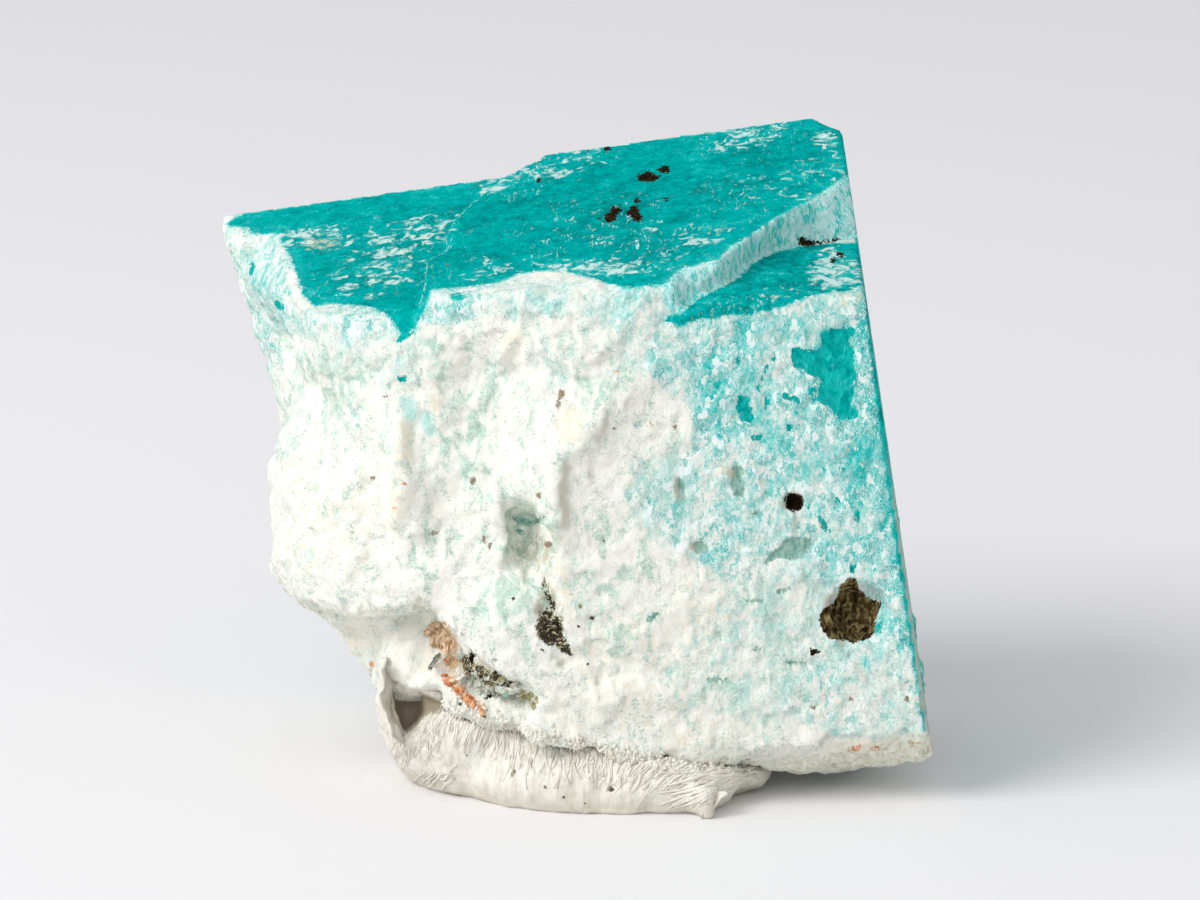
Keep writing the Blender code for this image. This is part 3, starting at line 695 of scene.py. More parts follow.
CLUSTER = [
    (541, 616), (546, 612), (552, 618), (558, 616), (562, 626), (560, 634), (566, 642), (570, 653),
    (563, 652), (556, 645), (548, 644), (541, 638), (538, 628),
]
CLUSTER_TIP = [
    (540, 584), (544, 579), (547, 584), (549, 592), (553, 600), (556, 610), (552, 612), (549, 602),
    (544, 594), (541, 591),
]
SHARDS = [
    (466, 676), (478, 672), (492, 676), (520, 680), (528, 690), (516, 697), (496, 696), (480, 692),
    (470, 688),
]
OLIVE = [(519, 690), (528, 687), (538, 692), (541, 702), (532, 708), (524, 704)]
DARK_CREVICE = [
    (456, 650), (470, 660), (480, 668), (500, 674), (512, 684), (500, 690), (484, 682), (470, 676),
    (462, 664),
]
PEACH = [(426, 628), (434, 622), (446, 624), (455, 640), (450, 652), (438, 648), (428, 642)]
SINGLE_DARK_GRAINS = [(542, 650), (578, 626), (592, 618), (588, 664), (513, 599), (484, 716), (460, 704)]
# Rusty grains: photo place, half size in mm
RUSTY_TRAIL = [
    (444, 676, 0.30), (450, 684, 0.34), (456, 690, 0.34), (461, 691, 0.40), (464, 697, 0.34),
    (468, 700, 0.46), (473, 704, 0.40), (478, 708, 0.30), (482, 712, 0.34), (447, 660, 0.26),
    (501, 733, 0.30), (502, 738, 0.24), (372, 664, 0.26),
]
# Single crystals: photo place, half length, width and height in mm, lean in degrees
GREY_CRYSTALS = [
    (463, 654, 0.75, 0.5, 0.4, 60), (480, 688, 0.7, 0.35, 0.35, 10), (494, 660, 0.3, 0.18, 0.2, 0),
    (504, 688, 0.9, 0.4, 0.4, 20), (516, 690, 0.7, 0.3, 0.3, 30), (470, 682, 0.5, 0.3, 0.3, 70),
]
OLIVE_CRYSTALS = [
    (503, 680, 0.55, 0.34, 0.3, 20), (530, 697, 0.7, 0.5, 0.4, 50), (580, 606, 0.14, 0.2, 0.1, 0),
]


def scatter(outline, count):
    """Random photo places inside an outline."""
    xs, ys = zip(*outline)
    places = []
    while len(places) < count:
        place = (rng.uniform(min(xs), max(xs)), rng.uniform(min(ys), max(ys)))
        if polygon_depth(np.array([place]), outline)[0] > 0:
            places.append(place)
    return places


def add_grain(bm, centre, turn, half_sizes, corners):
    """One flat-faced grain: the hull of points thrown on an ellipsoid."""
    own = bmesh.new()
    for _ in range(corners):
        way = Vector((rng.gauss(0, 1), rng.gauss(0, 1), rng.gauss(0, 1))).normalized()
        own.verts.new(centre + turn @ Vector([w * h for w, h in zip(way, half_sizes)]))
    hull = bmesh.ops.convex_hull(own, input=own.verts)
    spare = hull["geom_interior"] + hull["geom_unused"]
    loose = {item for item in spare if isinstance(item, bmesh.types.BMVert)}
    bmesh.ops.delete(own, geom=list(loose), context="VERTS")
    bmesh.ops.recalc_face_normals(own, faces=own.faces)
    mesh = bpy.data.meshes.new("grain")
    own.to_mesh(mesh)
    own.free()
    bm.from_mesh(mesh)
    bpy.data.meshes.remove(mesh)


def make_putty_chips(putty):
    """Rock crumbs that stick in the putty."""
    places = [(x, y, half, width, 0.10, rng.uniform(0, 180)) for x, y, half, width in CHIPS]
    make_grains("putty_chips", tree_of(putty), places,
                mineral_material("rock_crumbs", "#3d3526", "#a39b82", 0.5))


def make_grains(name, carrier, places, material, corners=10):
    """Grains at photo places: x, y, then half length, width and height in mm, and the lean in degrees."""
    bm = bmesh.new()
    for x, y, *half_sizes, lean in places:
        hit, normal, _, _ = carrier.ray_cast(EYE, photo_ray(x, y))
        if hit is None:
            continue
        across = (RIGHT - normal * RIGHT.dot(normal)).normalized()
        turn = Matrix((across, normal.cross(across), normal)).transposed()
        turn = turn @ Matrix.Rotation(math.radians(lean), 3, "Z")
        centre = hit + normal * (half_sizes[2] * 0.25 * MM)
        add_grain(bm, centre, turn, [h * MM for h in half_sizes], corners)
    obj = piece_from(bm, name)
    obj.data.materials.append(material)
    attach(obj, "root")
    return obj


def scattered_grains(outline, count, small, large):
    """Random grains inside an outline, as make_grains takes them."""
    places = []
    for x, y in scatter(outline, count):
        size = rng.uniform(small, large)
        width = size * rng.uniform(0.6, 1.0)
        places.append((x, y, size, width, size * rng.uniform(0.5, 0.9), rng.uniform(0, 180)))
    return places


def make_crevice_crystals(crystal):
    carrier = tree_of(crystal)
    dark_places = scattered_grains(CLUSTER, 60, 0.10, 0.24)
    dark_places += scattered_grains(CLUSTER_TIP, 12, 0.08, 0.18)
    dark_places += scattered_grains(DARK_CREVICE, 18, 0.10, 0.26)
    dark_places += [(x, y, 0.16, 0.13, 0.12, 0) for x, y in SINGLE_DARK_GRAINS]
    make_grains("dark_grains", carrier, dark_places,
                mineral_material("smoky_black_grains", "#15120c", "#4b4128", 0.3))
    make_grains("grey_shards", carrier, GREY_CRYSTALS + scattered_grains(SHARDS, 26, 0.18, 0.42),
                mineral_material("grey_green_shards", "#8c9384", "#d9ddd0", 0.35))
    make_grains("olive_crystals", carrier, OLIVE_CRYSTALS + scattered_grains(OLIVE, 12, 0.16, 0.34),
                mineral_material("olive_crystals", "#7d7a4c", "#cdc79d", 0.35))
    rusty_places = [(x, y, size, size * 0.75, size * 0.6, rng.uniform(0, 180)) for x, y, size in RUSTY_TRAIL]
    make_grains("rusty_grains", carrier, rusty_places,
                mineral_material("iron_stained_grains", "#b3562b", "#f2c592", 0.45), corners=13)
    make_grains("peach_lumps", carrier, scattered_grains(PEACH, 34, 0.14, 0.42),
                mineral_material("peach_feldspar", "#a07a52", "#f2d6b6", 0.5), corners=13)


# Putty

HOLLOW = [
    (388, 676), (397, 680), (409, 685), (430, 694), (457, 706), (462, 711), (448, 714), (430, 716),
    (420, 724), (410, 734), (399, 741), (394, 732), (390, 716), (387, 696),
]
PUTTY_TUCK_DEPTH = 2.0
PUTTY_EDGE = [
    (396, 742), (420, 726), (440, 716), (462, 711), (510, 727), (560, 745), (640, 762), (700, 770),
    (758, 771),
]
# What lies behind the crystal's foot and mustn't show in front of it
PUTTY_TUCK = [
    (386, 640), (393, 674), (409, 680), (457, 704), (510, 722), (560, 740), (640, 755), (740, 762),
    (740, 600), (386, 600),
]
# The thin fold at the left: photo points of its free edge and of where it joins the lump
FILM_EDGE = [(386, 654), (380, 672), (378, 692), (382, 714), (389, 732), (399, 745)]
FILM_ROOT = [(394, 664), (393, 678), (393, 696), (397, 714), (403, 728), (410, 740)]
FILM_PLACE = (420, 738)
# The curled flap: photo points down its middle, half width in photo pixels
FLAP_MIDDLE = [(715, 791, 9), (713, 799, 8), (710, 807, 6), (706, 814, 4.5), (703, 820, 2.5)]
FLAP_PLACE = (690, 800)
CHIPS = [
    (513, 773, 0.30, 0.14), (611, 790, 0.34, 0.28), (564, 797, 0.16, 0.12), (545, 787, 0.14, 0.12),
    (467, 754, 0.22, 0.12), (604, 776, 0.10, 0.08), (585, 803, 0.10, 0.08),
]
FILM_THICKNESS = 0.24
# Strands: their height in mm, and how closely the broad and the narrow ones follow in photo pixels
STRAND_HEIGHT = 0.24
BROAD_STRANDS = 0.17
NARROW_STRANDS = 0.46
# How far fibres lean to the side as they hang, at places across the photo
FIBRE_LEAN = ((400, 470, 520, 600, 680, 760), (-0.4, -0.35, 0.0, -0.1, -1.2, -2.2))
HANGING_FIBRES = 420
RIGHT_STRANDS = 26
LEFT_STRANDS = 18
EDGE_CRUMBS = 420


def strand_height(photo, points):
    """Pulled fibres, -0.5 to 0.5: upright in the middle, leaning to the right end of the putty."""
    lean = ease(600, 680, photo[:, 0])
    across = photo[:, 0] * (1 - lean) + (photo[:, 1] + 0.42 * photo[:, 0]) * lean
    wander = lumps(points * np.array((1, 1, 0.4)), 2.2, 3, 7)
    broad = np.abs(np.sin(across * BROAD_STRANDS + wander * 4.5)) ** 0.7 - 0.5
    narrow = np.abs(np.sin(across * NARROW_STRANDS - wander * 5.5)) - 0.5
    return 0.6 * broad + 0.4 * narrow


def faces_camera(normals):
    """1 where the putty faces the camera, falling to 0 where it turns away."""
    return ease(0.0, 0.25, -(normals @ np.array(FORWARD)))


def above_foot(points):
    """0 on the putty's flat foot, which stays flat, and 1 from half a millimetre above it."""
    return 1 - ease(0.5, 0.1, points[:, 2] / MM)


def sunk_points(points, normals):
    """The putty with its hollow at the left, and without what would show in front of the crystal's foot."""
    photo = to_photo(points)
    seen = faces_camera(normals)
    deeper_left = 0.8 + 1.5 * ease(462, 396, photo[:, 0])
    sunk = seen * ease(0.0, 0.5, polygon_depth(photo, HOLLOW)) * deeper_left
    sunk = np.maximum(sunk, PUTTY_TUCK_DEPTH * seen * ease(-0.1, 0.7, polygon_depth(photo, PUTTY_TUCK)))
    return points + np.array(FORWARD) * (sunk * MM)[:, None]


def pulled_points(points, normals):
    """The putty with its strands and its kneaded lumps."""
    photo = to_photo(points)
    seen = faces_camera(normals)
    around = np.arctan2(points[:, 1], points[:, 0]) * 60
    behind = np.abs(np.sin(around + lumps(points, 2.2, 3, 8) * 3.0)) - 0.5
    strands = strand_height(photo, points) * seen + behind * (1 - seen)
    kneaded = 0.20 * lumps(points, 2.4, 4, 4) + 0.07 * lumps(points, 0.7, 3, 9)
    height = STRAND_HEIGHT * ease(1.2, 3.4, points[:, 2] / MM) * strands + above_foot(points) * kneaded
    height *= 1 - 0.8 * ease(-0.2, 0.3, polygon_depth(photo, HOLLOW)) * seen
    points = points + normals * (height * MM)[:, None]
    points[:, 2] = np.maximum(points[:, 2], 0.0)
    return points


def make_putty():
    obj = dense_copy("mounting_putty", "putty_surface", PUTTY_VOXEL)
    points = points_of(obj.data)
    points = smooth_points(points, edges_of(obj.data), above_foot(points) * 0.6, 10)
    set_points(obj.data, points)
    set_points(obj.data, sunk_points(points, normals_of(obj.data)))
    even_skin(obj, PUTTY_VOXEL)
    set_points(obj.data, pulled_points(points_of(obj.data), normals_of(obj.data)))
    points = points_of(obj.data)
    # Fields for painted shade: in the hollow behind the thin fold, and along the foot near the floor
    paint(obj.data, {"hollow": ease(-0.1, 0.4, polygon_depth(to_photo(points), HOLLOW)),
                     "low": ease(2.2, 0.3, points[:, 2] / MM)})
    obj.data.shade_smooth()
    return obj


def add_fibre(bm, path, radius):
    """A tapered fibre along points in space."""
    sides = 5
    rings = []
    for index, point in enumerate(path):
        ahead = path[min(index + 1, len(path) - 1)]
        behind = path[max(index - 1, 0)]
        way = (ahead - behind).normalized()
        across = way.cross(FORWARD).normalized()
        out = across.cross(way)
        taper = radius * (0.35 + 0.65 * math.sin(math.pi * (index + 0.6) / (len(path) + 0.2)))
        rings.append([bm.verts.new(point + (across * math.cos(a) + out * math.sin(a)) * taper)
                      for a in [2 * math.pi * k / sides for k in range(sides)]])
    for low, high in zip(rings, rings[1:]):
        for k in range(sides):
            bm.faces.new((low[k], low[(k + 1) % sides], high[(k + 1) % sides], high[k]))
    bm.faces.new(reversed(rings[0]))
    bm.faces.new(rings[-1])


def nearest_hit(carriers, x, y):
    """The first place that the photo's ray through a pixel meets on any of the carriers."""
    hits = [carrier.ray_cast(EYE, photo_ray(x, y))[0] for carrier in carriers]
    return min((hit for hit in hits if hit is not None), key=lambda hit: (hit - EYE).length, default=None)


def surface_path(carriers, photo_points, lift):
    """Photo points laid on the carriers, lifted towards the camera by `lift` mm."""
    hits = [nearest_hit(carriers, x, y) for x, y in photo_points]
    return [hit - FORWARD * (lift * MM) for hit in hits if hit is not None]


def lay_fibre(bm, carriers, places, lift, widest_gap, thin, thick):
    """One fibre over photo places, left out where it would leap over a gap; its sizes are in mm."""
    path = surface_path(carriers, places, lift)
    if len(path) > 3 and max((a - b).length for a, b in zip(path, path[1:])) < widest_gap * MM:
        add_fibre(bm, path, rng.uniform(thin, thick) * MM)


def along_edge(part):
    """The photo place at a part, 0 to 1, of the putty's upper edge."""
    x, y = np.array(PUTTY_EDGE, float).T
    reach = np.concatenate(([0], np.cumsum(np.hypot(np.diff(x), np.diff(y)))))
    return float(np.interp(part * reach[-1], reach, x)), float(np.interp(part * reach[-1], reach, y))


def add_hanging_fibres(bm, carriers):
    """Fine fibres that hang from the edge, leaning as the photo's do."""
    for number in range(HANGING_FIBRES):
        x, y = along_edge(rng.uniform(0, 1))
        y += rng.uniform(-9, 9 if number % 3 else 26)
        lean = float(np.interp(x, *FIBRE_LEAN)) + rng.uniform(-0.3, 0.3)
        down = rng.uniform(10, 32) / math.hypot(1, lean)
        bend = rng.uniform(-4, 4)
        places = [(x + lean * down * t + bend * math.sin(math.pi * t), y + down * t)
                  for t in np.linspace(0, 1, 9)]
        lay_fibre(bm, carriers, places, 0.03, 1.2, 0.04, 0.11)


def add_right_strands(bm, carriers):
    """Thick strands drawn to the putty's right end."""
    for _ in range(RIGHT_STRANDS):
        x, y = rng.uniform(652, 700), rng.uniform(772, 810)
        end_x, end_y = rng.uniform(728, 762), rng.uniform(766, 782)
        sag = rng.uniform(-4, 6)
        places = [(end_x + (x - end_x) * t, end_y + (y - end_y) * t + sag * math.sin(math.pi * t))
                  for t in np.linspace(0, 1, 12)]
        lay_fibre(bm, carriers, places, 0.10, 2.5, 0.08, 0.20)


def add_left_strands(bm, carriers):
    """Short strands at the putty's left foot."""
    for _ in range(LEFT_STRANDS):
        x, y = rng.uniform(420, 458), rng.uniform(764, 782)
        places = [(x - 12 * t, y + rng.uniform(8, 14) * t) for t in np.linspace(0, 1, 6)]
        lay_fibre(bm, carriers, places, 0.12, math.inf, 0.05, 0.11)


def add_crumbs(bm, carriers):
    """Crumbs smeared along the edge."""
    for _ in range(EDGE_CRUMBS):
        x, y = along_edge(rng.uniform(0.14, 1.0))
        hit = nearest_hit(carriers, x, y + rng.gauss(-4, 5))
        if hit is not None:
            size = rng.uniform(0.10, 0.34) * MM
            turn = Euler((rng.uniform(0, 6), rng.uniform(0, 6), rng.uniform(0, 6))).to_matrix()
            add_grain(bm, hit, turn, (size, size * 0.7, size * 0.5), 14)


def make_putty_fibres(crystal, putty):
    """Strands pulled off the crystal and lying down over the putty, and crumbs smeared along its edge."""
    carriers = [tree_of(crystal), tree_of(putty)]
    bm = bmesh.new()
    add_hanging_fibres(bm, carriers)
    add_right_strands(bm, carriers)
    add_left_strands(bm, carriers)
    add_crumbs(bm, carriers)
    obj = piece_from(bm, "putty_fibres")
    obj.data.shade_smooth()
    return obj


def add_sheet(bm, rows):
    """An open sheet through rows of points."""
    laid = [[bm.verts.new(point) for point in row] for row in rows]
    for low, high in zip(laid, laid[1:]):
        for k in range(len(low) - 1):
            bm.faces.new((low[k], low[k + 1], high[k + 1], high[k]))


def depth_at(carrier, x, y):
    """How far along the view the carrier lies at a photo place, in metres."""
    return (carrier.ray_cast(EYE, photo_ray(x, y))[0] - EYE).dot(FORWARD)


def at_depth(x, y, depth):
    """The place behind a photo pixel at a depth along the view."""
    ray = photo_ray(x, y)
    return EYE + ray * (depth / ray.dot(FORWARD))


def film_rows(carrier):
    """The thin fold's rows, from its free edge back to its root."""
    depth = depth_at(carrier, *FILM_PLACE)
    rows = []
    for (edge_x, edge_y), (root_x, root_y) in zip(FILM_EDGE, FILM_ROOT):
        row = []
        for t in np.linspace(0, 1, 6):
            x = edge_x + (root_x - edge_x) * t - 2.5 * math.sin(math.pi * t)
            y = edge_y + (root_y - edge_y) * t
            row.append(at_depth(x, y, depth + (2.6 * t - 0.7) * MM))
        rows.append(row)
    return rows


def flap_rows(carrier):
    """The curled flap's rows, each most of a turn round its middle."""
    depth = depth_at(carrier, *FLAP_PLACE) - 0.3 * MM
    rows = []
    for x, y, half in FLAP_MIDDLE:
        row = []
        for turn in np.linspace(math.radians(-10), math.radians(235), 10):
            side = RIGHT * math.cos(turn) + FORWARD * math.sin(turn)
            point = at_depth(x, y, depth) + side * (half * MM_PER_PIXEL * MM)
            point.z = max(point.z, 0.12 * MM)
            row.append(point)
        rows.append(row)
    return rows


def make_putty_film(putty):
    """The thin fold that stands free at the left, and the curled flap at the right."""
    carrier = tree_of(putty)
    bm = bmesh.new()
    add_sheet(bm, film_rows(carrier))
    add_sheet(bm, flap_rows(carrier))
    obj = piece_from(bm, "putty_film")
    rounded = obj.modifiers.new("rounded", "SUBSURF")
    rounded.levels = rounded.render_levels = 2
    thick = obj.modifiers.new("thick", "SOLIDIFY")
    thick.thickness = FILM_THICKNESS * MM
    thick.offset = 0.0
    apply_modifiers(obj)
    points = points_of(obj.data)
    across = 0.45 * lumps(points, 1.3, 3, 12) * MM
    up = 0.30 * lumps(points, 0.9, 3, 13) * MM
    points = points + np.array(RIGHT) * across[:, None] + np.array(UP) * up[:, None]
    points[:, 2] = np.maximum(points[:, 2], 0.0)
    set_points(obj.data, points)
    obj.data.shade_smooth()
    return obj


# Materials

def linear(code):
    """An sRGB hex value as a linear colour."""
    parts = [int(code[i:i + 2], 16) / 255 for i in (1, 3, 5)]
    return (*[p / 12.92 if p <= 0.04045 else ((p + 0.055) / 1.055) ** 2.4 for p in parts], 1.0)


def add(tree, kind, sockets=None, out=0, **settings):
    """Adds a shader node with its settings, sets or links its inputs, and gives the output asked for."""
    made = tree.nodes.new("ShaderNode" + kind)
    for name, value in settings.items():
        setattr(made, name, value)
    for key, value in (sockets or {}).items():
        if isinstance(value, bpy.types.NodeSocket):
            tree.links.new(value, made.inputs[key])
        else:
            made.inputs[key].default_value = value
    return made.outputs[out]


def new_material(name, ior, specular, roughness):
    made = bpy.data.materials.new(name)
    made.use_nodes = True
    tree = made.node_tree
    shader = tree.nodes["Principled BSDF"]
    shader.inputs["IOR"].default_value = ior
    shader.inputs["Specular IOR Level"].default_value = specular
    shader.inputs["Roughness"].default_value = roughness
    return made, tree, shader


def fill_ramp(socket, stops):
    """Sets the stops of a colour ramp: place and colour code."""
    bar = socket.node.color_ramp
    while len(bar.elements) < len(stops):
        bar.elements.new(0.5)
    for element, (place, code) in zip(bar.elements, stops):
        element.position = place
        element.color = linear(code)


# Amazonite: the fields that its mesh carries
AMAZONITE_FIELDS = ("tone", "patch", "pale", "grey", "dark", "pit", "warm", "orange", "shade", "stroke",
                    "bevel", "top", "blotch", "milky", "riser", "rim", "speckled", "peach", "dot")
# Noises: size in mm, detail, bend, and the stretch along the crystal's axes
NOISES = {
    "drift": (3.4, 3.0, 0.4, (1, 1, 1)),
    "blotch": (1.1, 4.0, 0.9, (1, 1, 1)),
    "grain": (0.36, 4.0, 1.6, (1, 1, 1)),
    "worm": (0.55, 2.0, 2.4, (1, 1, 1)),
    "second worm": (0.42, 2.0, 2.0, (1, 1, 1.3)),
    "gate": (1.9, 3.0, 0.4, (1, 1, 1)),
    "fleck": (0.24, 3.0, 1.8, (0.55, 1, 1.6)),
    "mottle": (0.5, 5.0, 1.0, (1, 1, 1)),
    "streak": (0.46, 5.0, 0.9, (0.42, 0.40, 1)),
    "fibre": (0.42, 4.0, 1.6, (1, 1, 0.55)),
}
# Noises that move the tone, and by how much
TONE_NOISES = {"blotch": 0.9, "grain": 1.0, "drift": 0.7, "plate": 0.20, "chip": 0.24}
TONE_COLOURS = [(0.0, "#f2f1e8"), (0.12, "#e9ece1"), (0.26, "#c2e0d9"), (0.42, "#86d0ca"),
                (0.56, "#2fbdb8"), (0.68, "#00aeaa"), (0.82, "#009f9c"), (1.0, "#00827f")]
# Places that a noise and the field of that name decide together: noise, its share, the field's share,
# and where the soft step from 0 to 1 starts and ends
EDGED_PLACES = {
    "blotch": ("streak", 1.0, 0.30, 0.20, 0.29),
    "milky": ("blotch", 1.0, 0.26, 0.10, 0.24),
    "patch": ("chip", 0.32, 1.0, -0.03, 0.04),
    "pale": ("grain", 0.7, 1.0, -0.30, 0.25),
    "grey": ("grain", 0.8, 1.0, -0.05, 0.06),
    "dark": ("grain", 0.9, 1.0, -0.03, 0.03),
    "pit": ("grain", 0.6, 1.0, -0.03, 0.05),
    "orange": ("grain", 2.4, 1.0, 0.45, 0.75),
    "speckled": ("grain", 1.0, 1.0, -0.05, 0.08),
    "peach": ("grain", 1.2, 1.0, -0.10, 0.20),
    "dot": ("grain", 0.5, 1.0, -0.06, 0.06),
    "riser": ("blotch", 2.6, 1.0, 0.35, 0.65),
    "warm": ("mottle", 4.6, 1.0, 0.30, 1.00),
    "shade": ("mottle", 2.0, 1.0, 0.2, 0.7),
}
# Other soft steps: what steps, and where it starts and ends
STEPS = {
    "not white": ("tone field", 0.10, 0.28),
    "not teal": ("tone field", 0.94, 0.68),
    "teal": ("tone field", 0.5, 0.8),
    "pale zone": ("tone field", 0.42, 0.1),
    "warm zone": ("warm field", 0.0, 0.3),
    "shade zone": ("shade field", 0.0, 0.2),
    "riser zone": ("riser field", 0.0, 0.3),
    "milky zone": ("milky field", 0.0, 0.3),
    "gate": ("gate noise", 0.42, 0.54),
    "other gate": ("gate noise", 0.56, 0.44),
    "stroke gate": ("gate noise", 0.47, 0.58),
    "fleck gate": ("blotch noise", 0.44, 0.60),
    "blotch gate": ("blotch noise", 0.38, 0.54),
    "teal chip": ("chip noise", 0.20, 0.14),
    "white chip": ("chip noise", 0.80, 0.86),
    "stroke": ("stroke noise", 0.64, 0.71),
    "fleck": ("fleck noise", 0.53, 0.62),
    "seam": ("seam noise", 0.07, 0.01),
    "fibre": ("fibre noise", 0.40, 0.56),
    "thread": ("thread noise", 0.030, 0.008),
    "second thread": ("second thread noise", 0.03, 0.008),
}
# Finishes that are themselves uneven: the noise that they follow, and its colours
INLAYS = {
    "patch": ("mottle", [(0.30, "#00807d"), (0.42, "#00a09b"), (0.62, "#1cb9b2"), (0.75, "#6fd0c9")]),
    "grey": ("mottle", [(0.35, "#6f9f92"), (0.65, "#aacbbe")]),
    "dark": ("mottle", [(0.40, "#130e08"), (0.66, "#37291a"), (0.80, "#7a6040")]),
    # The pit's near-black and dark brown stops are partly painted shade of the cavity, partly its brown
    # lining
    "pit": ("mottle", [(0.40, "#1b150c"), (0.52, "#54472c"), (0.68, "#a08f62")]),
    "speckled": ("fleck", [(0.44, "#191510"), (0.51, "#3a3020"), (0.55, "#b5a56c"), (0.64, "#ece6cf")]),
    "peach": ("mottle", [(0.34, "#7d6043"), (0.46, "#cfa67a"), (0.6, "#efd5b3"), (0.72, "#f4e8d6")]),
    "orange": ("mottle", [(0.36, "#b4582f"), (0.5, "#d98655"), (0.66, "#f0cda6")]),
    "bevel": ("mottle", [(0.32, "#b3ac8f"), (0.45, "#dbdac6"), (0.6, "#efeee1"), (0.75, "#f6f6ee")]),
}
# The steps that keep a finish to the mottled places
MOTTLED = ("not white", "not teal")
# Finishes from the lowest to the highest: the shares that multiply, then a colour or an inlay
LAYERS = [
    (("milky", "milky zone", "pale zone", 0.75), "#bfdaca"),
    (("second thread", "other gate", *MOTTLED, 0.7), "#6fc4bf"),
    (("teal chip", "gate", *MOTTLED, 0.8), "#35b8b3"),
    (("seam", "gate", *MOTTLED, 0.55), "#63bdb8"),
    (("seam", "fleck gate", "pale zone", 0.40), "#a3bfb4"),
    (("thread", "gate", *MOTTLED, 0.9), "#f0f7f3"),
    (("white chip", *MOTTLED, 0.75), "#f2f8f4"),
    (("fleck", "fleck gate", "pale zone", 0.70), "#97b5ac"),
    (("stroke", "stroke gate", "stroke field", "teal", 0.8), "#d3efeb"),
    (("blotch", "blotch gate", 0.85), "#d2ece6"),
    (("riser", "riser zone", 0.75), "#30d2cc"),
    (("riser", "riser zone", "fibre", 0.65), "#eefbf8"),
    (("warm", "warm zone", 0.5), "#f3e3c6"),
    (("pale", 0.6), "#93d4cf"),
    # Grey-green patches, among them the painted shade of the lower slits and pockets
    (("grey",), "grey"),
    (("patch",), "patch"),
    (("rim field", 0.85), "#cdc7b8"),
    (("bevel field", 0.8), "bevel"),
    # Painted shade, #a09379, in recesses and under ledges
    (("shade", "shade zone", 0.5), "#a09379"),
    (("peach", 0.9), "peach"),
    (("orange", 0.85), "orange"),
    (("speckled", 0.95), "speckled"),
    (("dot", 0.8), "#7b5c3c"),
    (("dark",), "dark"),
    (("pit",), "pit"),
]


def feldspar_noises(tree, place, grown):
    """Every noise of the stone: clouds, worms and streaks, broken shards, their seams, and strokes."""
    noises = {}
    for name, (size, detail, bend, stretch) in NOISES.items():
        laid = add(tree, "Mapping", {"Vector": grown, "Scale": stretch})
        noises[name] = add(tree, "TexNoise", {"Vector": laid, "Scale": 1 / (size * MM), "Detail": detail,
                                              "Roughness": 0.6, "Distortion": bend})
    # Places pushed about a little, because a shard's edges would be too straight otherwise
    jitter = add(tree, "TexNoise", {"Vector": grown, "Scale": 1 / (0.4 * MM), "Detail": 3.0}, out=1)
    centred = add(tree, "VectorMath", {0: jitter, 1: (0.5, 0.5, 0.5)}, operation="SUBTRACT")
    push = (MM, MM, 0.6 * MM)
    broken = add(tree, "VectorMath", {0: centred, 1: push, 2: grown}, operation="MULTIPLY_ADD")
    for name, size in (("plate", 0.85), ("chip", 0.36)):
        shard = add(tree, "TexVoronoi", {"Vector": broken, "Scale": 1 / (size * MM)}, out=1)
        noises[name] = add(tree, "SeparateColor", {0: shard})
    noises["seam"] = add(tree, "TexVoronoi", {"Vector": broken, "Scale": 1 / (0.6 * MM)},
                         feature="DISTANCE_TO_EDGE")
    for name, worm in (("thread", "worm"), ("second thread", "second worm")):
        middle = add(tree, "Math", {0: noises[worm], 1: 0.5}, operation="SUBTRACT")
        noises[name] = add(tree, "Math", {0: middle}, operation="ABSOLUTE")
    strokes = 0.0
    for turn in (22, 78, -38):
        laid = add(tree, "Mapping", {"Vector": place, "Rotation": (0.0, 0.0, math.radians(turn)),
                                     "Scale": (1.0, 0.26, 0.6)})
        line = add(tree, "TexNoise", {"Vector": laid, "Scale": 1 / (0.30 * MM), "Detail": 2.0,
                                      "Distortion": 1.0})
        strokes = add(tree, "Math", {0: strokes, 1: line}, operation="MAXIMUM")
    noises["stroke"] = strokes
    return noises


def feldspar_level(tree, field, noises):
    """The tone with its natural unevenness, which is least on white places and on the top plate."""
    wobble = 0.0
    for name, amount in TONE_NOISES.items():
        part = add(tree, "Math", {0: noises[name], 1: 0.5}, operation="SUBTRACT")
        wobble = add(tree, "Math", {0: part, 1: amount, 2: wobble}, operation="MULTIPLY_ADD")
    lively = add(tree, "MapRange", {0: field["tone"], 1: 0.04, 2: 0.26, 3: 0.62, 4: 1.0})
    calm = add(tree, "Math", {0: field["top"], 1: -0.30, 2: lively}, operation="MULTIPLY_ADD")
    return add(tree, "Math", {0: wobble, 1: calm, 2: field["tone"]}, operation="MULTIPLY_ADD")


def feldspar_masks(tree, field, noises):
    """Every mask that a layer can name, from 0 to 1, and the fields themselves."""
    masks = {f"{name} field": socket for name, socket in field.items()}
    masks.update({f"{name} noise": socket for name, socket in noises.items()})
    sources = {}
    for name, (noise_name, noise_share, field_share, low, high) in EDGED_PLACES.items():
        part = add(tree, "Math", {0: noises[noise_name], 1: 0.5}, operation="SUBTRACT")
        part = add(tree, "Math", {0: part, 1: noise_share}, operation="MULTIPLY")
        spot = add(tree, "Math", {0: field[name], 1: field_share, 2: part}, operation="MULTIPLY_ADD")
        sources[name] = (spot, low, high)
    for name, (source, low, high) in STEPS.items():
        sources[name] = (masks[source], low, high)
    for name, (source, low, high) in sources.items():
        masks[name] = add(tree, "MapRange", {0: source, 1: low, 2: high},
                          interpolation_type="SMOOTHSTEP")
    return masks


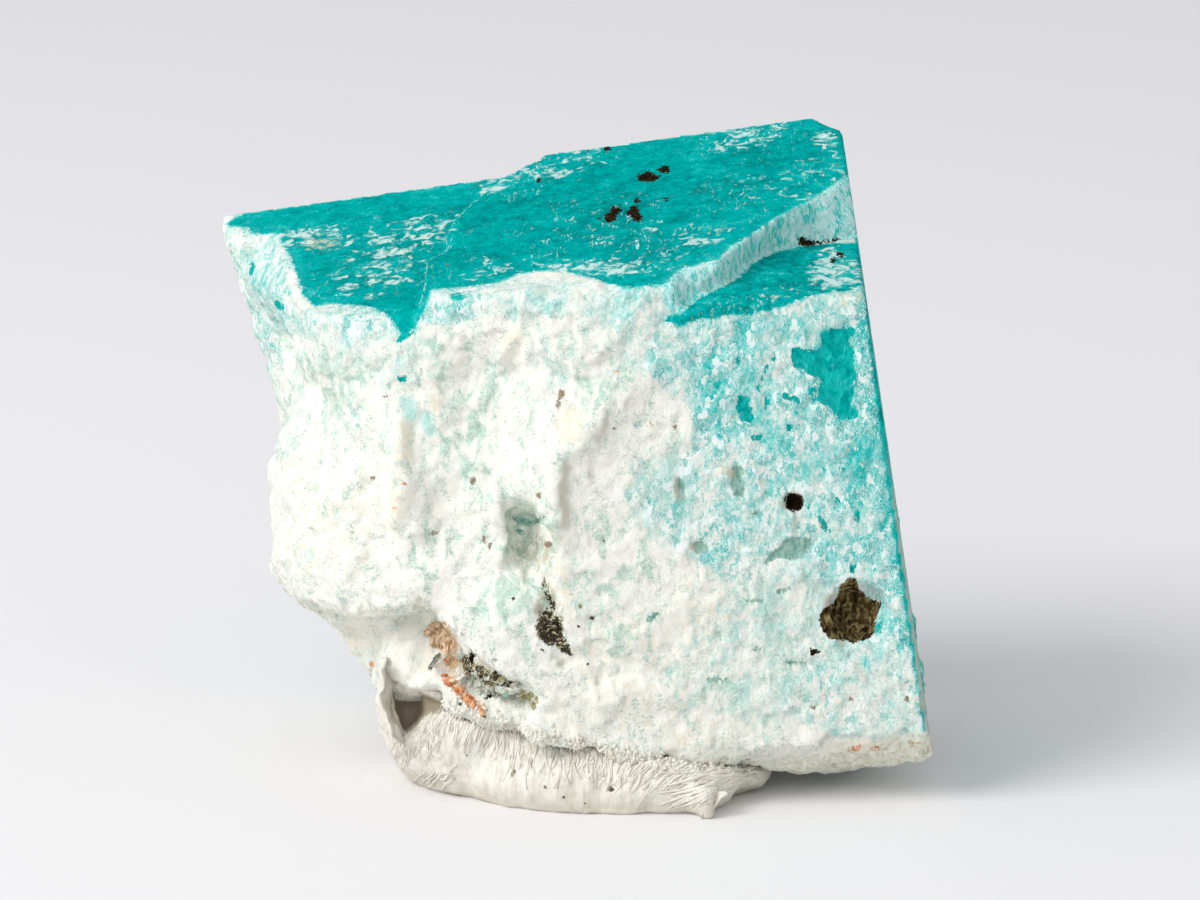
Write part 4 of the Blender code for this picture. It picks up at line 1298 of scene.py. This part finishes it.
def feldspar_colour(tree, level, noises, masks):
    """The colour of the tone, with every layer over it."""
    colour = add(tree, "ValToRGB", {0: add(tree, "Math", {0: level, 1: 1.25}, operation="DIVIDE")})
    fill_ramp(colour, TONE_COLOURS)
    inlays = {}
    for name, (noise_name, stops) in INLAYS.items():
        inlays[name] = add(tree, "ValToRGB", {0: noises[noise_name]})
        fill_ramp(inlays[name], stops)
    for factors, finish in LAYERS:
        share = 1.0
        for factor in factors:
            share = add(tree, "Math", {0: share, 1: masks.get(factor, factor)}, operation="MULTIPLY")
        over = inlays[finish] if finish in inlays else linear(finish)
        colour = add(tree, "Mix", {0: share, 6: colour, 7: over}, out=2, data_type="RGBA")
    return colour


def amazonite_material():
    """Microcline feldspar, grown, cleaved and weathered: teal, with white albite grown through it in
    streaks and worm-like threads 0.1 to 0.4 mm wide, and a matt, sugary white crust without shine."""
    made, tree, shader = new_material("amazonite_feldspar", 1.52, 0.0, 0.6)
    place = add(tree, "TexCoord", out="Object")
    grown = add(tree, "Mapping", {"Vector": place, "Rotation": tuple(-a for a in CRYSTAL_TURN),
                                  "Scale": (1.0, 1.0, 0.6)})
    field = {name: add(tree, "Attribute", out="Fac", attribute_name=name, attribute_type="GEOMETRY")
             for name in AMAZONITE_FIELDS}
    noises = feldspar_noises(tree, place, grown)
    level = feldspar_level(tree, field, noises)
    masks = feldspar_masks(tree, field, noises)
    tree.links.new(feldspar_colour(tree, level, noises, masks), shader.inputs["Base Color"])
    roughness = add(tree, "MapRange", {0: level, 1: 0.1, 2: 0.9, 3: 0.75, 4: 0.5})
    tree.links.new(roughness, shader.inputs["Roughness"])
    relief = add(tree, "Math", {0: noises["chip"], 1: 0.35, 2: noises["grain"]}, operation="MULTIPLY_ADD")
    bump = add(tree, "Bump", {"Strength": 0.6, "Distance": 0.16 * MM, "Height": relief})
    tree.links.new(bump, shader.inputs["Normal"])
    return made


def mineral_material(name, dark_code, light_code, roughness):
    """Small grown grains, broken and glassy, uneven from grain to grain."""
    made, tree, shader = new_material(name, 1.54, 0.4, roughness)
    place = add(tree, "TexCoord", out="Object")
    cloud = add(tree, "TexNoise", {"Vector": place, "Scale": 1 / (0.4 * MM), "Detail": 5.0, "Roughness": 0.7})
    colour = add(tree, "ValToRGB", {0: cloud})
    fill_ramp(colour, [(0.40, dark_code), (0.62, light_code)])
    tree.links.new(colour, shader.inputs["Base Color"])
    return made


def putty_material():
    """Museum putty, kneaded, pulled and pressed: warm white and matt, with a faint waxy shine, and painted
    shade in its hollow and along its foot.
    """
    made, tree, shader = new_material("kneaded_white_putty", 1.48, 0.3, 0.5)
    place = add(tree, "TexCoord", out="Object")
    pulled = add(tree, "Mapping", {"Vector": place, "Scale": (1.0, 1.0, 0.22)})
    grain = add(tree, "TexNoise", {"Vector": pulled, "Scale": 1 / (0.5 * MM), "Detail": 5.0,
                                   "Roughness": 0.6, "Distortion": 0.6})
    soft = add(tree, "TexNoise", {"Vector": place, "Scale": 1 / (4.0 * MM), "Detail": 3.0})
    hollow = add(tree, "Attribute", out="Fac", attribute_name="hollow", attribute_type="GEOMETRY")
    low = add(tree, "Attribute", out="Fac", attribute_name="low", attribute_type="GEOMETRY")
    colour = add(tree, "ValToRGB", {0: grain})
    fill_ramp(colour, [(0.30, "#cfcabb"), (0.5, "#e4e1d6"), (0.7, "#efede4")])
    warmed = add(tree, "MapRange", {0: soft, 1: 0.4, 2: 0.8, 4: 0.4})
    # Painted shade: #9c8c70 darkens the hollow behind the thin fold
    sunk = add(tree, "Math", {0: hollow, 1: 0.75}, operation="MULTIPLY")
    # Painted shade: #c9c3b0 darkens the foot near the floor
    foot = add(tree, "Math", {0: low, 1: 0.35}, operation="MULTIPLY")
    for share, finish in ((warmed, linear("#d9d0b9")), (foot, linear("#c9c3b0")), (sunk, linear("#9c8c70"))):
        colour = add(tree, "Mix", {0: share, 6: colour, 7: finish}, out=2, data_type="RGBA")
    tree.links.new(colour, shader.inputs["Base Color"])
    bump = add(tree, "Bump", {"Strength": 0.5, "Distance": 0.12 * MM, "Height": grain})
    tree.links.new(bump, shader.inputs["Normal"])
    return made


def sweep_material():
    """Matt white paper sweep, evenly pale."""
    made, _, shader = new_material("matt_paper_sweep", 1.5, 0.1, 0.9)
    shader.inputs["Base Color"].default_value = linear("#eceaeb")
    return made


# Studio

# Each light's place and size in metres, and its power in watts
LIGHTS = {"key": ((-0.64, -0.44, 0.69), 0.62, 6.8), "front": ((-0.30, -1.10, 0.60), 0.65, 1.7)}
LIGHT_AIM = Vector((0.0, 0.0, 20.0)) * MM
ROOM_COLOUR = (0.97, 0.98, 1.0, 1.0)
ROOM_STRENGTH = 0.62
FLOOR_RADIUS = 6.0


def make_studio():
    bm = bmesh.new()
    bmesh.ops.create_circle(bm, cap_ends=True, segments=96, radius=FLOOR_RADIUS)
    floor = piece_from(bm, "studio_floor")
    floor.data.materials.append(sweep_material())
    world = bpy.data.worlds.new("soft_room")
    world.use_nodes = True
    room = world.node_tree.nodes["Background"]
    room.inputs["Color"].default_value = ROOM_COLOUR
    room.inputs["Strength"].default_value = ROOM_STRENGTH
    bpy.context.scene.world = world
    for name, (place, size, power) in LIGHTS.items():
        area_light(name, Vector(place), size, power)


def area_light(name, place, size, power):
    data = bpy.data.lights.new(name, "AREA")
    data.shape = "DISK"
    data.size = size
    data.energy = power
    obj = bpy.data.objects.new(name, data)
    obj.location = place
    obj.rotation_euler = (LIGHT_AIM - place).to_track_quat("-Z", "Y").to_euler()
    bpy.context.scene.collection.objects.link(obj)


def make_camera():
    data = bpy.data.cameras.new("camera")
    data.lens = FOCAL_LENGTH
    data.sensor_width = SENSOR_WIDTH
    data.clip_start = 10 * MM
    data.clip_end = 20.0
    obj = bpy.data.objects.new("camera", data)
    obj.location = EYE
    obj.rotation_euler = FORWARD.to_track_quat("-Z", "Y").to_euler()
    bpy.context.scene.collection.objects.link(obj)
    bpy.context.scene.camera = obj
    bpy.context.scene.view_settings.view_transform = "Standard"


make_camera()
make_studio()

crystal = make_crystal()
crystal.data.materials.clear()
crystal.data.materials.append(amazonite_material())
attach(crystal, "root")
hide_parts("amazonite_crystal")
make_crevice_crystals(crystal)

putty_finish = putty_material()
putty = make_putty()
fibres = make_putty_fibres(crystal, putty)
film = make_putty_film(putty)
make_putty_chips(putty)
for piece in (putty, fibres, film):
    piece.data.materials.clear()
    piece.data.materials.append(putty_finish)
    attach(piece, "root")
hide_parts("mounting_putty")
